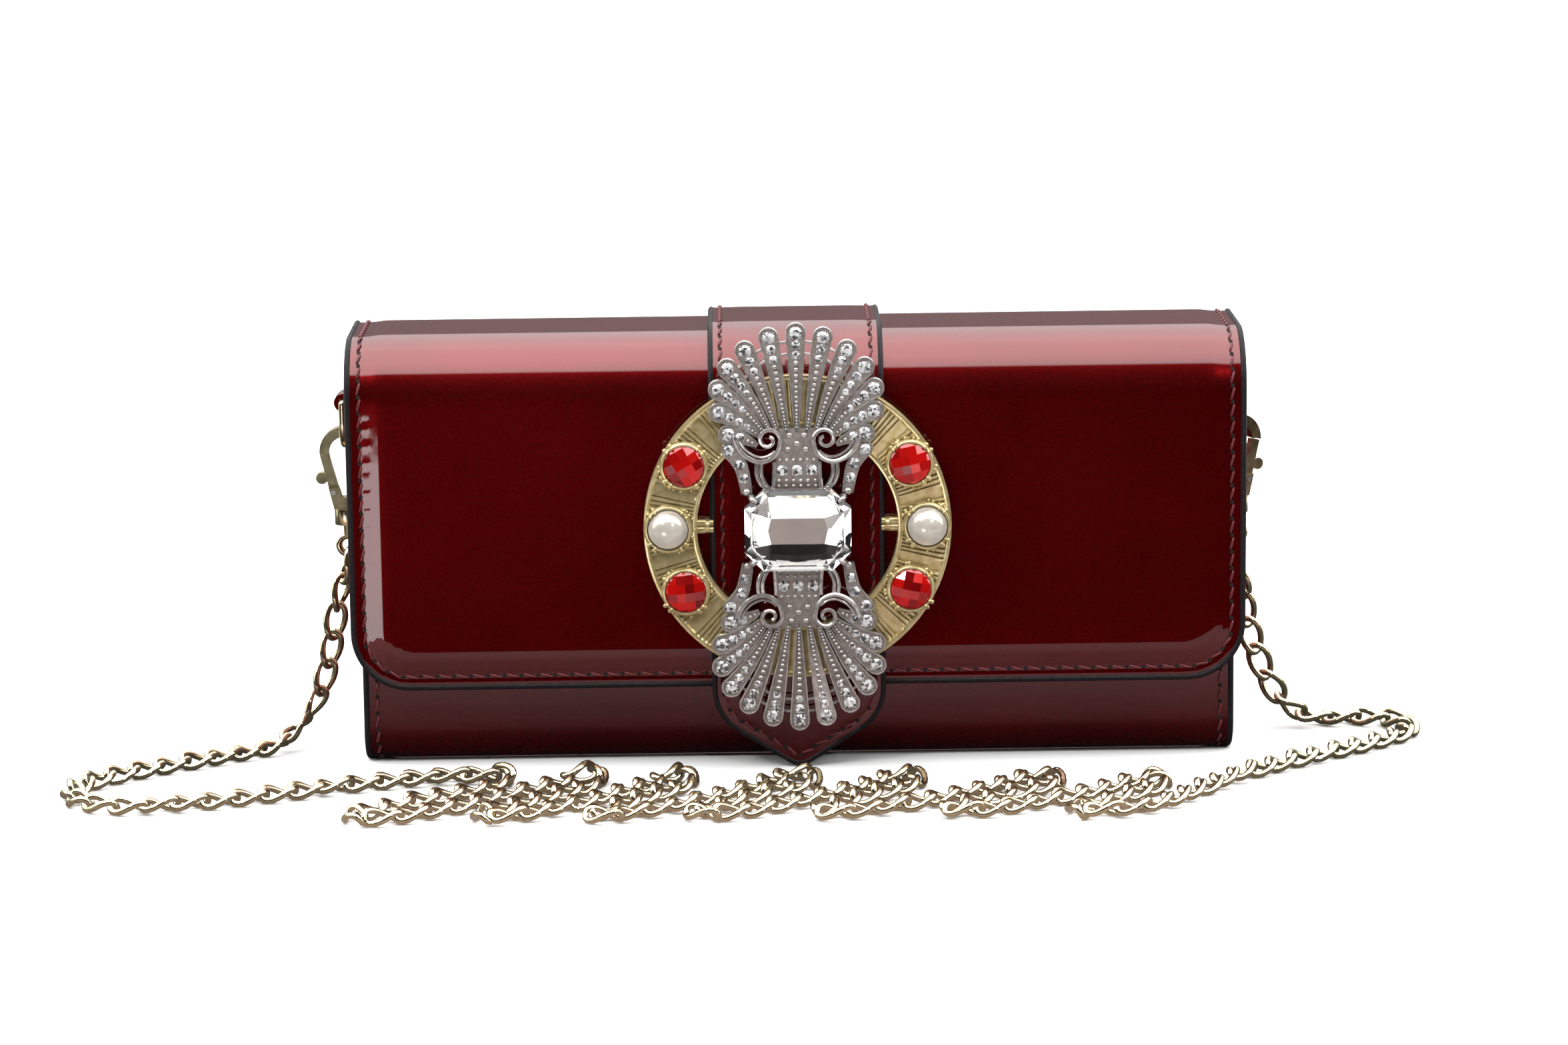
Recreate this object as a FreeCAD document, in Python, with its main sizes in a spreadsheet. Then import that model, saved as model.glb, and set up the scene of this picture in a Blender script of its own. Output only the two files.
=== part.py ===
import FreeCAD, Part
import math
import os
import re
import Sketcher

# Flap-over clutch purse with a jewelled buckle and a clip-on chain.
# Millimetres. Origin at the centre of the base on the floor, the front faces -Y, +X to the right, +Z up.

SIZES = {
    # purse body
    "body_width": 216.0,
    "body_depth": 44.0,
    "front_drop": 10.0,
    "base_radius": 8.0,
    "leather_thick": 1.4,
    "board_thick": 1.2,
    "lining_thick": 0.6,
    "seam_margin": 4.0,
    "gusset_thick": 1.2,
    "gusset_drop": 17.0,
    "gusset_inset": 5.0,
    "gusset_flat": 16.0,
    "gusset_clear": 3.5,
    "pocket_width": 104.0,
    "pocket_height": 62.0,
    "pocket_thick": 0.8,
    "pocket_foot": 14.0,
    # flap
    "flap_overhang": 2.0,
    "flap_top_z": 107.0,
    "flap_low_z": 20.5,
    "flap_tail_z": 44.0,
    "flap_corner": 14.0,
    "flap_skin": 1.2,
    "flap_stiffener": 0.6,
    "flap_lining": 0.6,
    "stiffener_inset": 6.0,
    "shoulder_radius": 15.0,
    "snap_gap": 4.2,
    # strap down the middle of the flap
    "strap_width": 42.0,
    "strap_skin": 1.2,
    "strap_backing": 1.0,
    "strap_tail_z": 52.0,
    "strap_point_z": -0.5,
    "strap_side_z": 12.6,
    "strap_side_round": 12.5,
    "strap_point_round": 5.0,
    # magnetic snap behind the flap
    "snap_z": 33.0,
    "snap_diameter": 17.0,
    "socket_thick": 2.4,
    "socket_wall": 0.6,
    "socket_hole": 7.0,
    "snap_clear": 0.3,
    "stud_diameter": 4.8,
    "stud_length": 1.5,
    "washer_diameter": 15.0,
    "washer_clear": 0.5,
    # buckle ring, its bar and the stones
    "buckle_z": 61.0,
    "ring_outer": 75.4,
    "ring_inner": 49.2,
    "ring_thick": 2.6,
    "ring_clear": 0.2,
    "bar_height": 3.2,
    "bar_thick": 0.8,
    "bar_clear": 0.1,
    "bar_foot": 3.0,
    "stone_circle": 63.4,
    "stone_angle": 29.5,
    "stone_diameter": 10.0,
    "setting_wall": 0.6,
    "setting_height": 1.6,
    "prong_diameter": 1.6,
    "red_stone_height": 3.4,
    "pearl_height": 4.8,
    # shell ornament over the ring
    "ornament_thick": 1.8,
    "petal_tip_radius": 2.5,
    "petal_root_radius": 0.7,
    "rivet_diameter": 2.0,
    "rivet_fit": 0.05,
    "crystal_width": 26.0,
    "crystal_height": 20.0,
    "crystal_corner": 4.6,
    "crystal_thick": 5.4,
    "crystal_rim": 0.6,
    # dee rings and their tabs
    "dee_left_reach": 9.6,
    "dee_right_reach": 7.6,
    "dee_drop": 18.6,
    "dee_height": 10.9,
    "dee_half_width": 6.0,
    "dee_wire": 2.0,
    "tab_width": 8.0,
    "tab_thick": 1.15,
    "tab_fit": 0.15,
    "tab_drop": 9.0,
    "tab_rivet_diameter": 3.2,
    "tab_rivet_head": 0.7,
    # lobster clasps
    "clasp_head_drop": 2.0,
    "clasp_head_radius": 6.5,
    "clasp_mouth_radius": 4.1,
    "clasp_thick": 3.2,
    "clasp_length": 14.5,
    "clasp_neck_radius": 3.2,
    "clasp_barrel_length": 4.0,
    "clasp_right_turn": 25.0,
    "lever_thick": 1.8,
    "lever_gap": 0.25,
    "lever_reach": 10.15,
    "ear_reach": 1.3,
    "slot_depth": 2.9,
    "heel_reach": 1.75,
    "lever_pin_u": 3.3,
    "lever_pin_rise": 4.2,
    "lever_pin_diameter": 1.2,
    "swivel_stud_diameter": 2.2,
    "swivel_head_diameter": 3.8,
    "swivel_fit": 0.1,
    "eye_drop": 9.4,
    "eye_radius": 2.3,
    "eye_wire": 1.7,
    # chain
    "chain_diameter": 6.5,
}

doc = FreeCAD.newDocument("clutch_purse")
sheet = doc.addObject("Spreadsheet::Sheet", "Sizes")
for row, (alias, number) in enumerate(SIZES.items(), start=1):
    sheet.set(f"A{row}", alias)
    sheet.set(f"B{row}", str(number))
    sheet.setAlias(f"B{row}", alias)
doc.recompute()

WORDS = re.compile(r"\b(" + "|".join(sorted(SIZES, key=len, reverse=True)) + r")\b")
NODES = []


def size(alias):
    """One driving dimension, read back from the sheet."""
    return float(sheet.get(alias))


def bind(item, prop, formula):
    """Tie a property to the sheet; the formula uses the sheet's own words."""
    item.setExpression(prop, WORDS.sub(r"Sizes.\1", formula))


def node(item):
    """Mark an object as a finished sub-part; its Label is the node's name."""
    NODES.append(item)
    return item


def place(item, x="0", y="0", z="0"):
    for axis, formula in (("x", x), ("y", y), ("z", z)):
        bind(item, "Placement.Base." + axis, formula)


def box(label, x, y, z):
    """A box between pairs of formulas along X, Y and Z."""
    item = doc.addObject("Part::Box", label)
    for prop, (low, high) in (("Length", x), ("Width", y), ("Height", z)):
        bind(item, prop, f"({high}) - ({low})")
    place(item, x[0], y[0], z[0])
    return item


AXIS_TURN = {
    "x": FreeCAD.Rotation(FreeCAD.Vector(0, 1, 0), 90),
    "y": FreeCAD.Rotation(FreeCAD.Vector(1, 0, 0), 90),
    "z": FreeCAD.Rotation(),
}


def cylinder(label, axis, diameter, length, x, y, z, angle=None, turn=0.0):
    """A cylinder along +X, -Y or +Z from its start point; angle gives a sector of it."""
    item = doc.addObject("Part::Cylinder", label)
    bind(item, "Radius", f"({diameter}) / 2")
    bind(item, "Height", length)
    if angle:
        item.Angle = angle
    spin = FreeCAD.Rotation(FreeCAD.Vector(0, 0, 1), turn)
    item.Placement = FreeCAD.Placement(FreeCAD.Vector(), AXIS_TURN[axis].multiply(spin))
    place(item, x, y, z)
    return item


def boolean(kind, label, base, *tools):
    """Cut, fuse or intersect whole objects of the document."""
    if kind == "cut":
        tool = tools[0]
        if len(tools) > 1:
            tool = boolean("fuse", label + "_tools", *tools)
        item = doc.addObject("Part::Cut", label)
        item.Base = base
        item.Tool = tool
        return item
    item = doc.addObject("Part::MultiFuse" if kind == "fuse" else "Part::MultiCommon", label)
    item.Shapes = [base, *tools]
    return item


PLANES = {"xy": "XY_Plane", "xz": "XZ_Plane", "yz": "YZ_Plane"}


def plate(label, plane, corners, low, high, rounds=()):
    """A PartDesign body: an outline whose corners are formulas, padded from low to high
    along the plane's normal (+Z, -Y or +X), with its listed corners rounded."""
    body = doc.addObject("PartDesign::Body", label)
    sketch = body.newObject("Sketcher::SketchObject", label + "_outline")
    role = PLANES[plane]
    sketch.AttachmentSupport = [(f, "") for f in body.Origin.OriginFeatures if f.Role == role]
    sketch.MapMode = "FlatFace"
    bind(sketch, "AttachmentOffset.Base.z", low)
    count = len(corners)
    for i in range(count):
        a, b = (2 * math.pi * k / count for k in (i, i + 1))
        start = FreeCAD.Vector(50 * math.cos(a), 50 * math.sin(a), 0)
        end = FreeCAD.Vector(50 * math.cos(b), 50 * math.sin(b), 0)
        sketch.addGeometry(Part.LineSegment(start, end))
    for i in range(count):
        sketch.addConstraint(Sketcher.Constraint("Coincident", i, 2, (i + 1) % count, 1))
    for i, corner in enumerate(corners):
        point = sketch.Geometry[i].StartPoint
        for kind, formula, now in zip(("DistanceX", "DistanceY"), corner, (point.x, point.y)):
            index = sketch.addConstraint(Sketcher.Constraint(kind, i, 1, now))
            bind(sketch, f"Constraints[{index}]", formula)
    pad = body.newObject("PartDesign::Pad", label + "_pad")
    pad.Profile = sketch
    bind(pad, "Length", f"({high}) - ({low})")
    doc.recompute()
    feature = pad
    for number, (which, radius) in enumerate(rounds, start=1):
        fillet = body.newObject("PartDesign::Fillet", f"{label}_round_{number}")
        fillet.Base = (feature, corner_edges(feature, sketch, which))
        bind(fillet, "Radius", radius)
        doc.recompute()
        feature = fillet
    return body


def corner_edges(feature, sketch, which):
    """Names of the padded edges that stand on the listed corners of the outline."""
    points = [sketch.Placement.multVec(sketch.Geometry[i].StartPoint) for i in which]
    normal = sketch.Placement.Rotation.multVec(FreeCAD.Vector(0, 0, 1))
    names = []
    for number, edge in enumerate(feature.Shape.Edges, start=1):
        start, end = edge.firstVertex().Point, edge.lastVertex().Point
        along = (end - start).cross(normal).Length < 1e-6
        if along and any((start - p).cross(normal).Length < 1e-6 for p in points):
            names.append(f"Edge{number}")
    return names


def shaped(label, shape):
    """A sub-part whose shape is made from the sheet's values with Part's own functions."""
    item = doc.addObject("Part::Feature", label)
    item.Shape = shape
    return item


# ---------------------------------------------------------------- purse body

FRONT = "body_depth / 2"
BOARD = f"{FRONT} - leather_thick"
LINING = f"{BOARD} - board_thick"
INSIDE = f"{LINING} - lining_thick"
HALF = "body_width / 2"
BACK_HEIGHT = "flap_top_z - shoulder_radius"
FRONT_HEIGHT = "flap_top_z - front_drop"


def u_wrap(label, outer, inner, foot, skin, radius, half_width, front_top, back_top):
    """One sheet bent up from the base into a front and a back, seen from the side as a U."""
    corners = [
        (f"-({outer})", front_top),
        (f"-({outer})", foot),
        (outer, foot),
        (outer, back_top),
        (inner, back_top),
        (inner, f"{foot} + {skin}"),
        (f"-({inner})", f"{foot} + {skin}"),
        (f"-({inner})", front_top),
    ]
    rounds = [([1, 2], radius), ([5, 6], f"{radius} - {skin}")]
    return plate(label, "yz", corners, f"-({half_width})", half_width, rounds)


def make_body():
    node(u_wrap("wrap_leather", FRONT, BOARD, "0", "leather_thick", "base_radius", HALF,
                FRONT_HEIGHT, BACK_HEIGHT))
    board_half = f"{HALF} - seam_margin - 0.2"
    board_x = (f"-({board_half})", board_half)
    front_board = box("front_board_blank", board_x, (f"-({BOARD})", f"-({LINING})"),
                      ("base_radius", f"{FRONT_HEIGHT} - 1"))
    hole = cylinder("front_board_hole", "y", "washer_diameter + 2 * washer_clear", "board_thick + 2",
                    "0", f"-({LINING}) + 1", "snap_z")
    node(boolean("cut", "front_board", front_board, hole))
    node(box("back_board", board_x, (LINING, BOARD), ("base_radius", f"{BACK_HEIGHT} - 1")))
    inner_half = f"{HALF} - gusset_inset - gusset_thick - gusset_clear"
    base_y = f"{FRONT} - base_radius"
    node(box("base_board", (f"-({inner_half})", inner_half), (f"-({base_y})", base_y),
             ("leather_thick", "leather_thick + board_thick")))
    node(u_wrap("main_lining", LINING, INSIDE, "leather_thick + board_thick", "lining_thick",
                "base_radius - leather_thick - board_thick", inner_half,
                f"{FRONT_HEIGHT} - 1.5", f"{BACK_HEIGHT} - 1.5"))


def make_gusset(side, sign):
    """A side gusset: two flanges sewn to the panels and a tray folded in between them."""
    edge = HALF
    flange = f"{HALF} - seam_margin"
    fold = f"{HALF} - gusset_inset"
    root = f"{flange} + gusset_thick"
    half_flat = "gusset_flat / 2"
    outer_side = [(edge, BOARD), (edge, LINING), (root, LINING), (fold, half_flat)]
    inner_side = [(f"{fold} - gusset_thick", half_flat), (flange, f"{LINING} - 0.3"), (flange, BOARD)]
    corners = []
    for x, y in outer_side:
        corners.append((x, f"-({y})"))
    for x, y in reversed(outer_side):
        corners.append((x, y))
    for x, y in reversed(inner_side):
        corners.append((x, y))
    for x, y in inner_side:
        corners.append((x, f"-({y})"))
    if sign < 0:
        corners = [(f"-({x})", y) for x, y in corners]
    tray = plate(f"gusset_{side}_tray", "xy", corners, "0", "flap_top_z - gusset_drop")
    room = [
        (f"-({BOARD})", FRONT_HEIGHT),
        (f"-({BOARD})", "leather_thick"),
        (BOARD, "leather_thick"),
        (BOARD, FRONT_HEIGHT),
    ]
    filler = plate(f"gusset_{side}_room", "yz", room, f"-({HALF})", HALF,
                   [([1, 2], "base_radius - leather_thick")])
    return node(boolean("common", f"gusset_{side}", tray, filler))


def make_pocket():
    half = "pocket_width / 2"
    node(box("card_pocket", (f"-{half}", half), (f"{INSIDE} - pocket_thick", INSIDE),
             ("pocket_foot", "pocket_foot + pocket_height")))


# ---------------------------------------------------------------- flap and strap

FLAP_THICK = "(flap_skin + flap_stiffener + flap_lining)"
STRAP_THICK = "(strap_skin + strap_backing)"
FLAP_HALF = "(body_width / 2 + flap_overhang)"
STRAP_HALF = "strap_width / 2"
FLAP_IN = f"{FRONT} + snap_gap"
FLAP_OUT = f"{FLAP_IN} + {FLAP_THICK}"
FRONT_AXIS = f"{FLAP_OUT} - shoulder_radius"
TAIL_OUT = f"{FRONT} + {FLAP_THICK}"
REAR_AXIS = f"{TAIL_OUT} - shoulder_radius"
SHOULDER_Z = "flap_top_z - shoulder_radius"


def shoulder(label, half_width, y, turn, inner_radius, outer_radius):
    """A quarter of a tube, where a sheet bends over a top edge."""
    start = f"-({half_width})"
    length = f"2 * ({half_width})"
    outer = cylinder(label + "_outer", "x", f"2 * ({outer_radius})", length, start, y, SHOULDER_Z,
                     angle=90, turn=turn)
    inner = cylinder(label + "_inner", "x", f"2 * ({inner_radius})", length, start, y, SHOULDER_Z)
    return node(boolean("cut", label, outer, inner))


REAR_TURN = 90.0
FRONT_TURN = 180.0


def make_flap():
    flap_x = (f"-({FLAP_HALF})", FLAP_HALF)
    skin_in = f"{FRONT} + flap_lining + flap_stiffener"
    tail = [(f"-({FLAP_HALF})", SHOULDER_Z), (f"-({FLAP_HALF})", "flap_tail_z"),
            (FLAP_HALF, "flap_tail_z"), (FLAP_HALF, SHOULDER_Z)]
    node(plate("flap_back_leather", "xz", tail, f"-({TAIL_OUT})", f"-({skin_in})",
               [([1, 2], "flap_corner")]))
    node(plate("flap_back_lining", "xz", tail, f"-({skin_in})", f"-({FRONT})",
               [([1, 2], "flap_corner")]))
    inner_radius = f"shoulder_radius - {FLAP_THICK}"
    shoulder("flap_rear_shoulder", FLAP_HALF, REAR_AXIS, REAR_TURN, inner_radius, "shoulder_radius")
    shoulder("flap_front_shoulder", FLAP_HALF, f"-({FRONT_AXIS})", FRONT_TURN, inner_radius,
             "shoulder_radius")
    top_y = (f"-({FRONT_AXIS})", REAR_AXIS)
    node(box("flap_top_leather", flap_x, top_y, ("flap_top_z - flap_skin - flap_stiffener", "flap_top_z")))
    node(box("flap_top_lining", flap_x, top_y,
             (f"flap_top_z - {FLAP_THICK}", "flap_top_z - flap_skin - flap_stiffener")))

    panel = [(f"-({FLAP_HALF})", SHOULDER_Z), (f"-({FLAP_HALF})", "flap_low_z"),
             (FLAP_HALF, "flap_low_z"), (FLAP_HALF, SHOULDER_Z)]
    node(plate("flap_front_leather", "xz", panel, f"{FLAP_OUT} - flap_skin", FLAP_OUT,
               [([1, 2], "flap_corner")]))
    inset_half = f"{FLAP_HALF} - stiffener_inset"
    low = "flap_low_z + stiffener_inset"
    inset = [(f"-({inset_half})", SHOULDER_Z), (f"-({inset_half})", low),
             (inset_half, low), (inset_half, SHOULDER_Z)]
    blank = plate("flap_front_board_blank", "xz", inset, f"{FLAP_IN} + flap_lining",
                  f"{FLAP_OUT} - flap_skin", [([1, 2], "flap_corner - stiffener_inset")])
    hole = cylinder("flap_front_board_hole", "y", "washer_diameter + 2 * washer_clear",
                    "flap_stiffener + 2", "0", f"-({FLAP_IN}) + 0.5", "snap_z")
    node(boolean("cut", "flap_front_board", blank, hole))
    node(plate("flap_front_lining", "xz", panel, FLAP_IN, f"{FLAP_IN} + flap_lining",
               [([1, 2], "flap_corner")]))


def make_strap():
    strap_x = (f"-({STRAP_HALF})", STRAP_HALF)
    outer_radius = f"shoulder_radius + {STRAP_THICK}"
    node(box("strap_back", strap_x, (TAIL_OUT, f"{TAIL_OUT} + {STRAP_THICK}"),
             ("strap_tail_z", SHOULDER_Z)))
    shoulder("strap_rear_shoulder", STRAP_HALF, REAR_AXIS, REAR_TURN, "shoulder_radius", outer_radius)
    node(box("strap_top", strap_x, (f"-({FRONT_AXIS})", REAR_AXIS),
             ("flap_top_z", f"flap_top_z + {STRAP_THICK}")))
    shoulder("strap_front_shoulder", STRAP_HALF, f"-({FRONT_AXIS})", FRONT_TURN, "shoulder_radius",
             outer_radius)
    left, right = strap_x
    pointed = [(left, SHOULDER_Z), (left, "strap_side_z"), ("0", "strap_point_z"),
               (right, "strap_side_z"), (right, SHOULDER_Z)]
    node(plate("strap_front_leather", "xz", pointed, f"{FLAP_OUT} + strap_backing",
               f"{FLAP_OUT} + {STRAP_THICK}",
               [([1, 3], "strap_side_round"), ([2], "strap_point_round")]))
    channel = "(bar_height / 2 + bar_clear)"
    node(box("strap_backing_upper", strap_x, (f"-({FLAP_OUT} + strap_backing)", f"-({FLAP_OUT})"),
             (f"buckle_z + {channel}", SHOULDER_Z)))
    lower = [(left, f"buckle_z - {channel}"), *pointed[1:4], (right, f"buckle_z - {channel}")]
    node(plate("strap_backing_lower", "xz", lower, FLAP_OUT, f"{FLAP_OUT} + strap_backing",
               [([1, 3], "strap_side_round"), ([2], "strap_point_round")]))


STUD_DISC = "(snap_gap - socket_thick - snap_clear)"


def make_snap():
    """Magnetic snap: a magnet in a cup on the front panel and a stud under the flap, each held
    by a washer behind the leather."""
    face = f"{FRONT} + socket_thick"
    cup = cylinder("snap_cup_blank", "y", "snap_diameter", "socket_thick", "0", f"-({FRONT})", "snap_z")
    room = cylinder("snap_cup_room", "y", "snap_diameter - 2 * socket_wall",
                    "socket_thick - 2 * socket_wall", "0", f"-({FRONT} + socket_wall)", "snap_z")
    mouth = cylinder("snap_cup_mouth", "y", "socket_hole", "socket_thick", "0",
                     f"-({FRONT} + socket_wall)", "snap_z")
    node(boolean("cut", "snap_socket", cup, room, mouth))
    disc = cylinder("snap_magnet_blank", "y", "snap_diameter - 2 * socket_wall - 0.1",
                    "socket_thick - 2 * socket_wall - 0.1", "0", f"-({FRONT} + socket_wall + 0.05)",
                    "snap_z")
    bore = cylinder("snap_magnet_bore", "y", "socket_hole", "socket_thick", "0",
                    f"-({FRONT})", "snap_z")
    node(boolean("cut", "snap_magnet", disc, bore))
    node(cylinder("snap_socket_washer", "y", "washer_diameter", "board_thick - 0.2", "0",
                  f"-({LINING} + 0.1)", "snap_z"))
    base = cylinder("snap_stud_disc", "y", "snap_diameter", STUD_DISC, "0",
                    f"-({FLAP_IN} - {STUD_DISC})", "snap_z")
    stud = cylinder("snap_stud_pin", "y", "stud_diameter", "stud_length + 0.5", "0",
                    f"-({FLAP_IN} - {STUD_DISC} - stud_length)", "snap_z")
    node(boolean("fuse", "snap_stud", base, stud))
    node(cylinder("snap_stud_washer", "y", "washer_diameter", "flap_stiffener - 0.1", "0",
                  f"-({FLAP_IN} + flap_lining + 0.05)", "snap_z"))


# ---------------------------------------------------------------- buckle

RING_BACK = f"{FLAP_OUT} + {STRAP_THICK} + ring_clear"
RING_FACE = f"{RING_BACK} + ring_thick"
RIVET_CIRCLE = "(ring_outer + ring_inner) / 4"


def depth_of(*aliases):
    """Sum of sizes from the front panel's outer face, as a number."""
    return size("body_depth") / 2 + sum(size(alias) for alias in aliases)


FLAP_STACK = ("snap_gap", "flap_skin", "flap_stiffener", "flap_lining")
STRAP_STACK = FLAP_STACK + ("strap_skin", "strap_backing")
RING_FACE_NOW = depth_of(*STRAP_STACK, "ring_clear", "ring_thick")
ORNAMENT_FACE_NOW = RING_FACE_NOW + size("ornament_thick")


def on_face(x, up, depth):
    """A point in front of the purse, counted from the buckle's centre."""
    return FreeCAD.Vector(x, -depth, size("buckle_z") + up)


def stone_spots(angles):
    """Centres of the big round stones on their circle, both sides."""
    radius = size("stone_circle") / 2
    spots = []
    for side in (-1, 1):
        for angle in angles:
            turn = math.radians(angle)
            spots.append((side * radius * math.cos(turn), radius * math.sin(turn)))
    return spots


def disc_shape(x, up, radius, depth, thick):
    """A short cylinder whose back is at the given depth and whose axis points forward."""
    return Part.makeCylinder(radius, thick, on_face(x, up, depth), FreeCAD.Vector(0, -1, 0))


def dome_shape(x, up, radius, depth, height):
    """A ball cap of the given base radius and height on a face."""
    ball = (radius ** 2 + height ** 2) / (2 * height)
    sphere = Part.makeSphere(ball, on_face(x, up, depth + height - ball))
    return sphere.common(disc_shape(x, up, ball + 1, depth, ball + height))


def make_ring():
    outer = cylinder("buckle_ring_blank", "y", "ring_outer", "ring_thick", "0", f"-({RING_BACK})",
                     "buckle_z")
    inner = cylinder("buckle_ring_hole", "y", "ring_inner", "ring_thick + 2", "0",
                     f"-({RING_BACK} - 1)", "buckle_z")
    holes = []
    for name, sign in (("upper", ""), ("lower", "-")):
        holes.append(cylinder(f"rivet_hole_{name}", "y", "rivet_diameter + 2 * rivet_fit",
                              "ring_thick + 2", "0", f"-({RING_BACK} - 1)",
                              f"buckle_z + {sign}({RIVET_CIRCLE})"))
    node(boolean("cut", "buckle_ring", outer, inner, *holes))
    rivets = []
    for name, sign in (("upper", ""), ("lower", "-")):
        rivets.append(cylinder(f"rivet_{name}", "y", "rivet_diameter", "ring_thick", "0",
                               f"-({RING_BACK})", f"buckle_z + {sign}({RIVET_CIRCLE})"))
    node(boolean("fuse", "ornament_rivets", *rivets))

    reach = "ring_inner / 2 + bar_foot + 1"
    strip = box("bar_strip", (f"-({reach})", reach),
                (f"-({FLAP_OUT} + bar_clear + bar_thick)", f"-({FLAP_OUT} + bar_clear)"),
                ("buckle_z - bar_height / 2", "buckle_z + bar_height / 2"))
    feet = []
    for name, sign in (("left", "-"), ("right", "")):
        low, high = f"{sign}(ring_inner / 2 + 1)", f"{sign}({reach})"
        x = (high, low) if sign else (low, high)
        feet.append(box(f"bar_foot_{name}", x, (f"-({RING_BACK})", f"-({FLAP_OUT} + bar_clear)"),
                        ("buckle_z - bar_height / 2", "buckle_z + bar_height / 2")))
    node(boolean("fuse", "buckle_bar", strip, *feet))


def make_stones():
    angle = size("stone_angle")
    every = stone_spots((-angle, 0.0, angle))
    radius = size("stone_diameter") / 2
    cups = []
    prong = size("prong_diameter") / 2
    outer = radius + size("setting_wall")
    for x, up in every:
        cup = disc_shape(x, up, outer, RING_FACE_NOW, size("setting_height"))
        cup = cup.cut(disc_shape(x, up, radius + 0.02, RING_FACE_NOW - 1, size("setting_height") + 2))
        for quarter in range(4):
            turn = math.pi / 4 + quarter * math.pi / 2
            reach = outer + 0.5 * prong
            post = disc_shape(x + reach * math.cos(turn), up + reach * math.sin(turn), prong,
                              RING_FACE_NOW, size("setting_height"))
            cup = cup.fuse(post)
        hole = disc_shape(x, up, radius + 0.02, RING_FACE_NOW - 1, size("setting_height") + 2)
        cups.append(cup.cut(hole))
    node(shaped("stone_settings", Part.makeCompound(cups)))
    red = [dome_shape(x, up, radius, RING_FACE_NOW, size("red_stone_height"))
           for x, up in stone_spots((-angle, angle))]
    node(shaped("red_stones", Part.makeCompound(red)))
    pearls = [dome_shape(x, up, radius, RING_FACE_NOW, size("pearl_height"))
              for x, up in stone_spots((0.0,))]
    node(shaped("pearls", Part.makeCompound(pearls)))


# Shell ornament, counted from the buckle's centre: petal tips and roots, right half of the upper
# fan from the middle outwards. The fan is mirrored left to right and top to bottom.
PETALS = [
    ((0.0, 48.4), (0.0, 24.5)),
    ((6.6, 47.3), (1.3, 24.5)),
    ((12.4, 44.2), (2.6, 24.5)),
    ((16.7, 40.0), (3.8, 24.3)),
    ((19.1, 34.7), (5.0, 24.0)),
    ((19.0, 28.9), (6.0, 23.3)),
    ((16.5, 23.2), (6.6, 21.5)),
]
SCROLL = ((7.6, 20.4), 4.6)
ARM = [(16.7, 19.3), (13.4, 15.8), (12.8, 12.5), (12.2, 9.0)]
ARM_RADIUS = 2.1
COLLAR = [(3.6, 24.6), (5.4, 15.5), (6.0, 9.0)]
COLLAR_STONES = [(-3.6, 15.4), (0.0, 15.4), (3.6, 15.4)]
PETAL_STONES = [(0.0, 1.65), (3.2, 1.35), (5.8, 1.15), (8.0, 0.9)]
STONE_PROUD = 0.8


def prism(outline, depth, thick):
    """A flat polygon in front of the purse, given a thickness towards the front."""
    wire = Part.makePolygon([on_face(x, up, depth) for x, up in outline + outline[:1]])
    return Part.Face(wire).extrude(FreeCAD.Vector(0, -thick, 0))


def taper(start, start_radius, end, end_radius, depth, thick):
    """A tapering finger with a round end at its start."""
    run = math.hypot(end[0] - start[0], end[1] - start[1])
    side = (-(end[1] - start[1]) / run, (end[0] - start[0]) / run)
    outline = []
    for point, reach in ((start, start_radius), (end, end_radius), (end, -end_radius),
                         (start, -start_radius)):
        outline.append((point[0] + side[0] * reach, point[1] + side[1] * reach))
    return prism(outline, depth, thick).fuse(disc_shape(*start, start_radius, depth, thick))


def mirrored(pairs):
    """The four places of each thing, or two where it stands on the middle line."""
    for x, up in pairs:
        for side in ((1,) if x == 0 else (1, -1)):
            for end in (1, -1):
                yield x * side, up * end, side, end


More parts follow.
